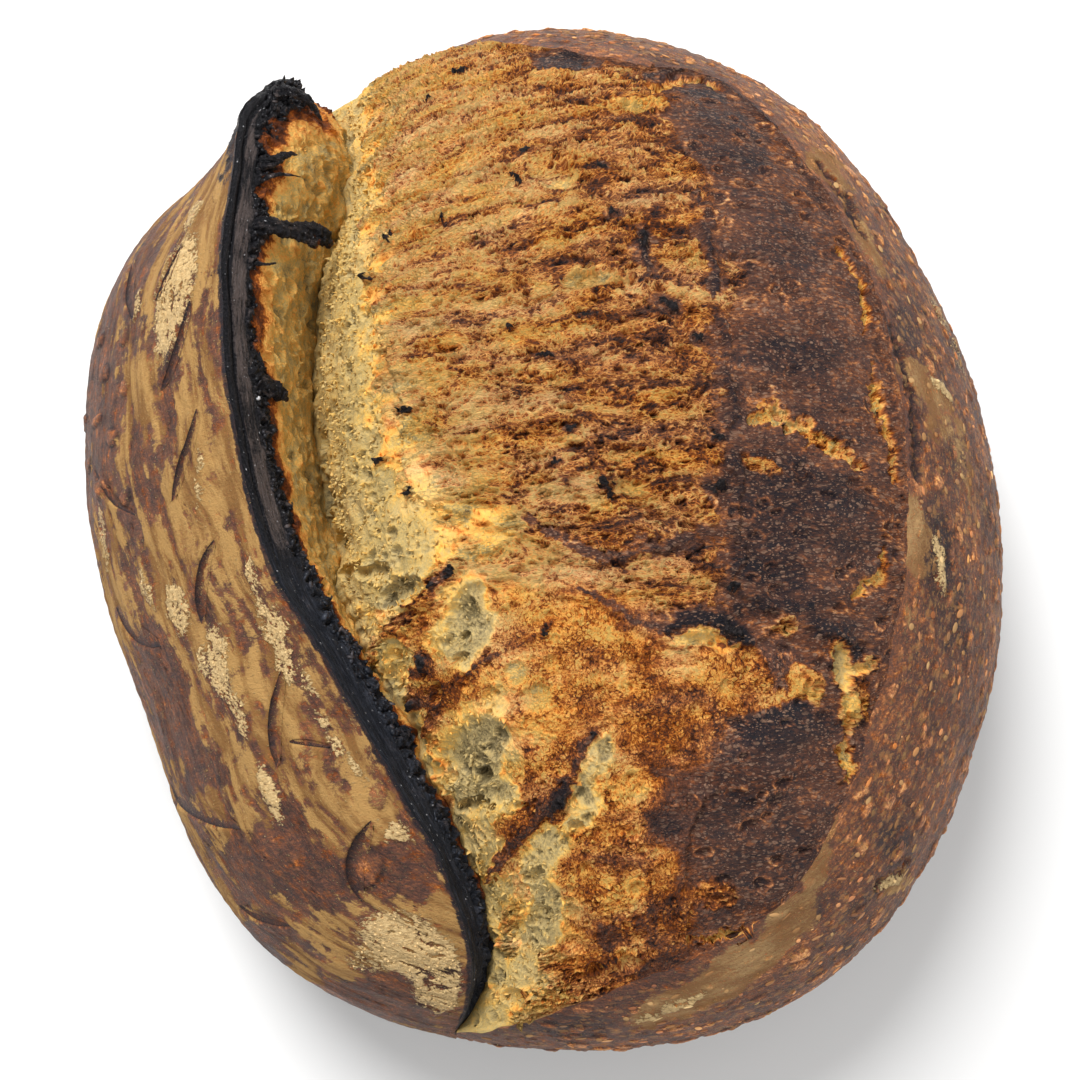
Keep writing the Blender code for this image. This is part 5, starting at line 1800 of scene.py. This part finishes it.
def skin_material(name, bake_colour, cell_wall, specks, tan, cream):
    """Brown crust under flour."""
    material, tree, shader = new_material(name)
    place, tone = surface_place(tree)
    broad = grain_about_zero(tree, place, 0.35, 4.0, 0.7)
    speck = grain_about_zero(tree, place, 1.5, 5.0, 0.75)
    streak = grain_about_zero(tree, stretched(tree, place, 0.3, 1.5), 1.0, 4.0, 0.7)
    sway = grain(tree, place, 0.9, 3.0, 0.65, "Color")
    moved = swayed(tree, place, sway, 1.2)
    spotted = attribute(tree, "spotted")
    # lighter rings round the larger dots are painted highlights
    tan_dots, dot_highlights = 0.0, 0.0
    for along, up, size, rim in ((0.40, 0.75, 0.60, 1.0), (1.0, 1.7, 0.42, 0.0)):
        dots = placed(tree, specks, Place=stretched(tree, moved, along, up), Size=size)
        tan_dots = maths(tree, "MAXIMUM", tan_dots, dots["Speck"])
        dot_highlights = maths(tree, "MULTIPLY_ADD", dots["Rim"], rim, dot_highlights)
    tan_dots = times(tree, tan_dots, spotted)
    dot_highlights = times(tree, dot_highlights, spotted)
    bake = summed(tree, (attribute(tree, "bake"), 1.0), (broad, 0.45), (speck, 0.62),
                  (streak, 0.35), (tan_dots, -0.06))
    blush = between(tree, broad, -0.30, 0.03)
    colour = placed(tree, bake_colour, Bake=bake, Blush=blush)["Color"]
    colour = blended(tree, times(tree, tan_dots, 0.6), colour, shade(174, 124, 72))
    # painted highlight: a lighter ring round the larger dots
    colour = blended(tree, times(tree, dot_highlights, 0.22), colour, shade(196, 152, 100))
    flour = summed(tree, (attribute(tree, "flour"), 1.0), (speck, 1.9), (broad, 0.6), (streak, 0.8))
    flour = between(tree, flour, 0.25, 0.80)
    tone = summed(tree, (tone, 1.0), (speck, 0.9), (streak, 0.8))
    dusting = blended(tree, between(tree, tone, 0.1, 0.9), tan, cream)
    colour = blended(tree, times(tree, flour, 0.92), colour, dusting)
    cake_edge = summed(tree, (attribute(tree, "cake"), 1.0), (speck, 2.6))
    cake_cover = between(tree, cake_edge, 0.35, 0.60)
    crack_place = stretched(tree, swayed(tree, place, sway, 2.0), 0.55, 0.75)
    cracks = placed(tree, cell_wall, Place=crack_place, Width=0.04)["Wall"]
    cracks = times(tree, cracks, between(tree, broad, -0.08, 0.12))
    powder = blended(tree, between(tree, speck, -0.2, 0.2), shade(206, 168, 112),
                     shade(236, 204, 148))
    powder = blended(tree, times(tree, cracks, 0.7), powder, shade(124, 88, 54))
    colour = blended(tree, cake_cover, colour, powder)
    roughness = between(tree, flour, 0.0, 1.0, 0.50, 0.85)
    height = summed(tree, (speck, 1.2), (streak, 0.6), (cake_cover, 0.6), (tan_dots, 0.2),
                    (times(tree, cracks, cake_cover), -0.6))
    finish_shader(tree, shader, colour, roughness, height, 0.5)
    return material


def floor_material():
    material, _, shader = new_material("pale_floor")
    shader.inputs["Base Color"].default_value = (0.86, 0.86, 0.855, 1.0)
    shader.inputs["Roughness"].default_value = 0.9
    return material


# --- Stage ---------------------------------------

CAMERA_TARGET = (0.0003, -0.01045, 0.050)
CAMERA_DISTANCE = 0.338
CAMERA_ELEVATION = math.radians(76)
CAMERA_VIEW = math.radians(40)
# Lamps: place, width in metres, power in watts
LAMPS = {"soft_box": ((-0.25, 0.45, 0.85), 0.5, 11.0), "near_fill": ((0.5, -0.6, 0.7), 0.8, 3.0)}
LAMP_TARGET = (0, 0, 0.04)
SKY_STRENGTH = 0.48
FLOOR_SIZE = 6


def aim(thing, target):
    turn = (Vector(target) - thing.location).to_track_quat("-Z", "Y")
    thing.rotation_euler = turn.to_euler()


def set_camera():
    camera = bpy.data.objects.new("camera", bpy.data.cameras.new("camera"))
    bpy.context.scene.collection.objects.link(camera)
    camera.data.angle = CAMERA_VIEW
    camera.data.sensor_fit = "HORIZONTAL"
    camera.data.clip_start = 0.01
    x, y, z = CAMERA_TARGET
    camera.location = (x, y - CAMERA_DISTANCE * math.cos(CAMERA_ELEVATION),
                       z + CAMERA_DISTANCE * math.sin(CAMERA_ELEVATION))
    aim(camera, CAMERA_TARGET)
    bpy.context.scene.camera = camera


def add_light(name, place, size, power):
    light = bpy.data.lights.new(name, "AREA")
    light.shape = "DISK"
    light.size = size
    light.energy = power
    lamp = bpy.data.objects.new(name, light)
    bpy.context.scene.collection.objects.link(lamp)
    lamp.location = place
    aim(lamp, LAMP_TARGET)


def set_stage():
    bpy.ops.mesh.primitive_plane_add(size=FLOOR_SIZE)
    floor = bpy.context.object
    floor.name = "floor"
    floor.data.materials.append(floor_material())
    for name, lamp in LAMPS.items():
        add_light(name, *lamp)
    world = bpy.data.worlds.new("studio")
    bpy.context.scene.world = world
    world.use_nodes = True
    background = world.node_tree.nodes["Background"]
    background.inputs["Color"].default_value = (1, 1, 1, 1)
    background.inputs["Strength"].default_value = SKY_STRENGTH
    bpy.context.scene.view_settings.view_transform = "Standard"


# --- The loaf ------------------------------------

set_camera()
set_stage()
bake_colour = bake_colour_group()
specks = specks_group()
cell_wall = cell_wall_group()
tear = torn_material(bake_colour, cell_wall, specks)
charred = ear_material(bake_colour, specks)
floured = skin_material("floured_crust", bake_colour, cell_wall, specks, shade(148, 106, 58),
                        shade(198, 154, 92))
blistered = skin_material("blistered_crust", bake_colour, cell_wall, specks, shade(150, 108, 66),
                          shade(192, 154, 104))
bloom = tear_bloom(tear)
ear = raise_ear(charred)
floured_skin, score_cuts = flour_crust(floured)
blistered_skin = blister_crust(blistered)
pieces = bloom + ear + floured_skin + blistered_skin
pieces += bridge_crevice(charred) + base_crust(floured) + score_cuts
pieces += scatter_bits(((("crumb_shreds",), bloom[:3], tear), (("char_flakes",), ear, charred),
                        (("crust_blisters", "crust_dots"), blistered_skin, blistered),
                        (("flour_crumbs",), floured_skin, floured)))
for piece in pieces:
    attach(piece, "root")
    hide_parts("loaf")
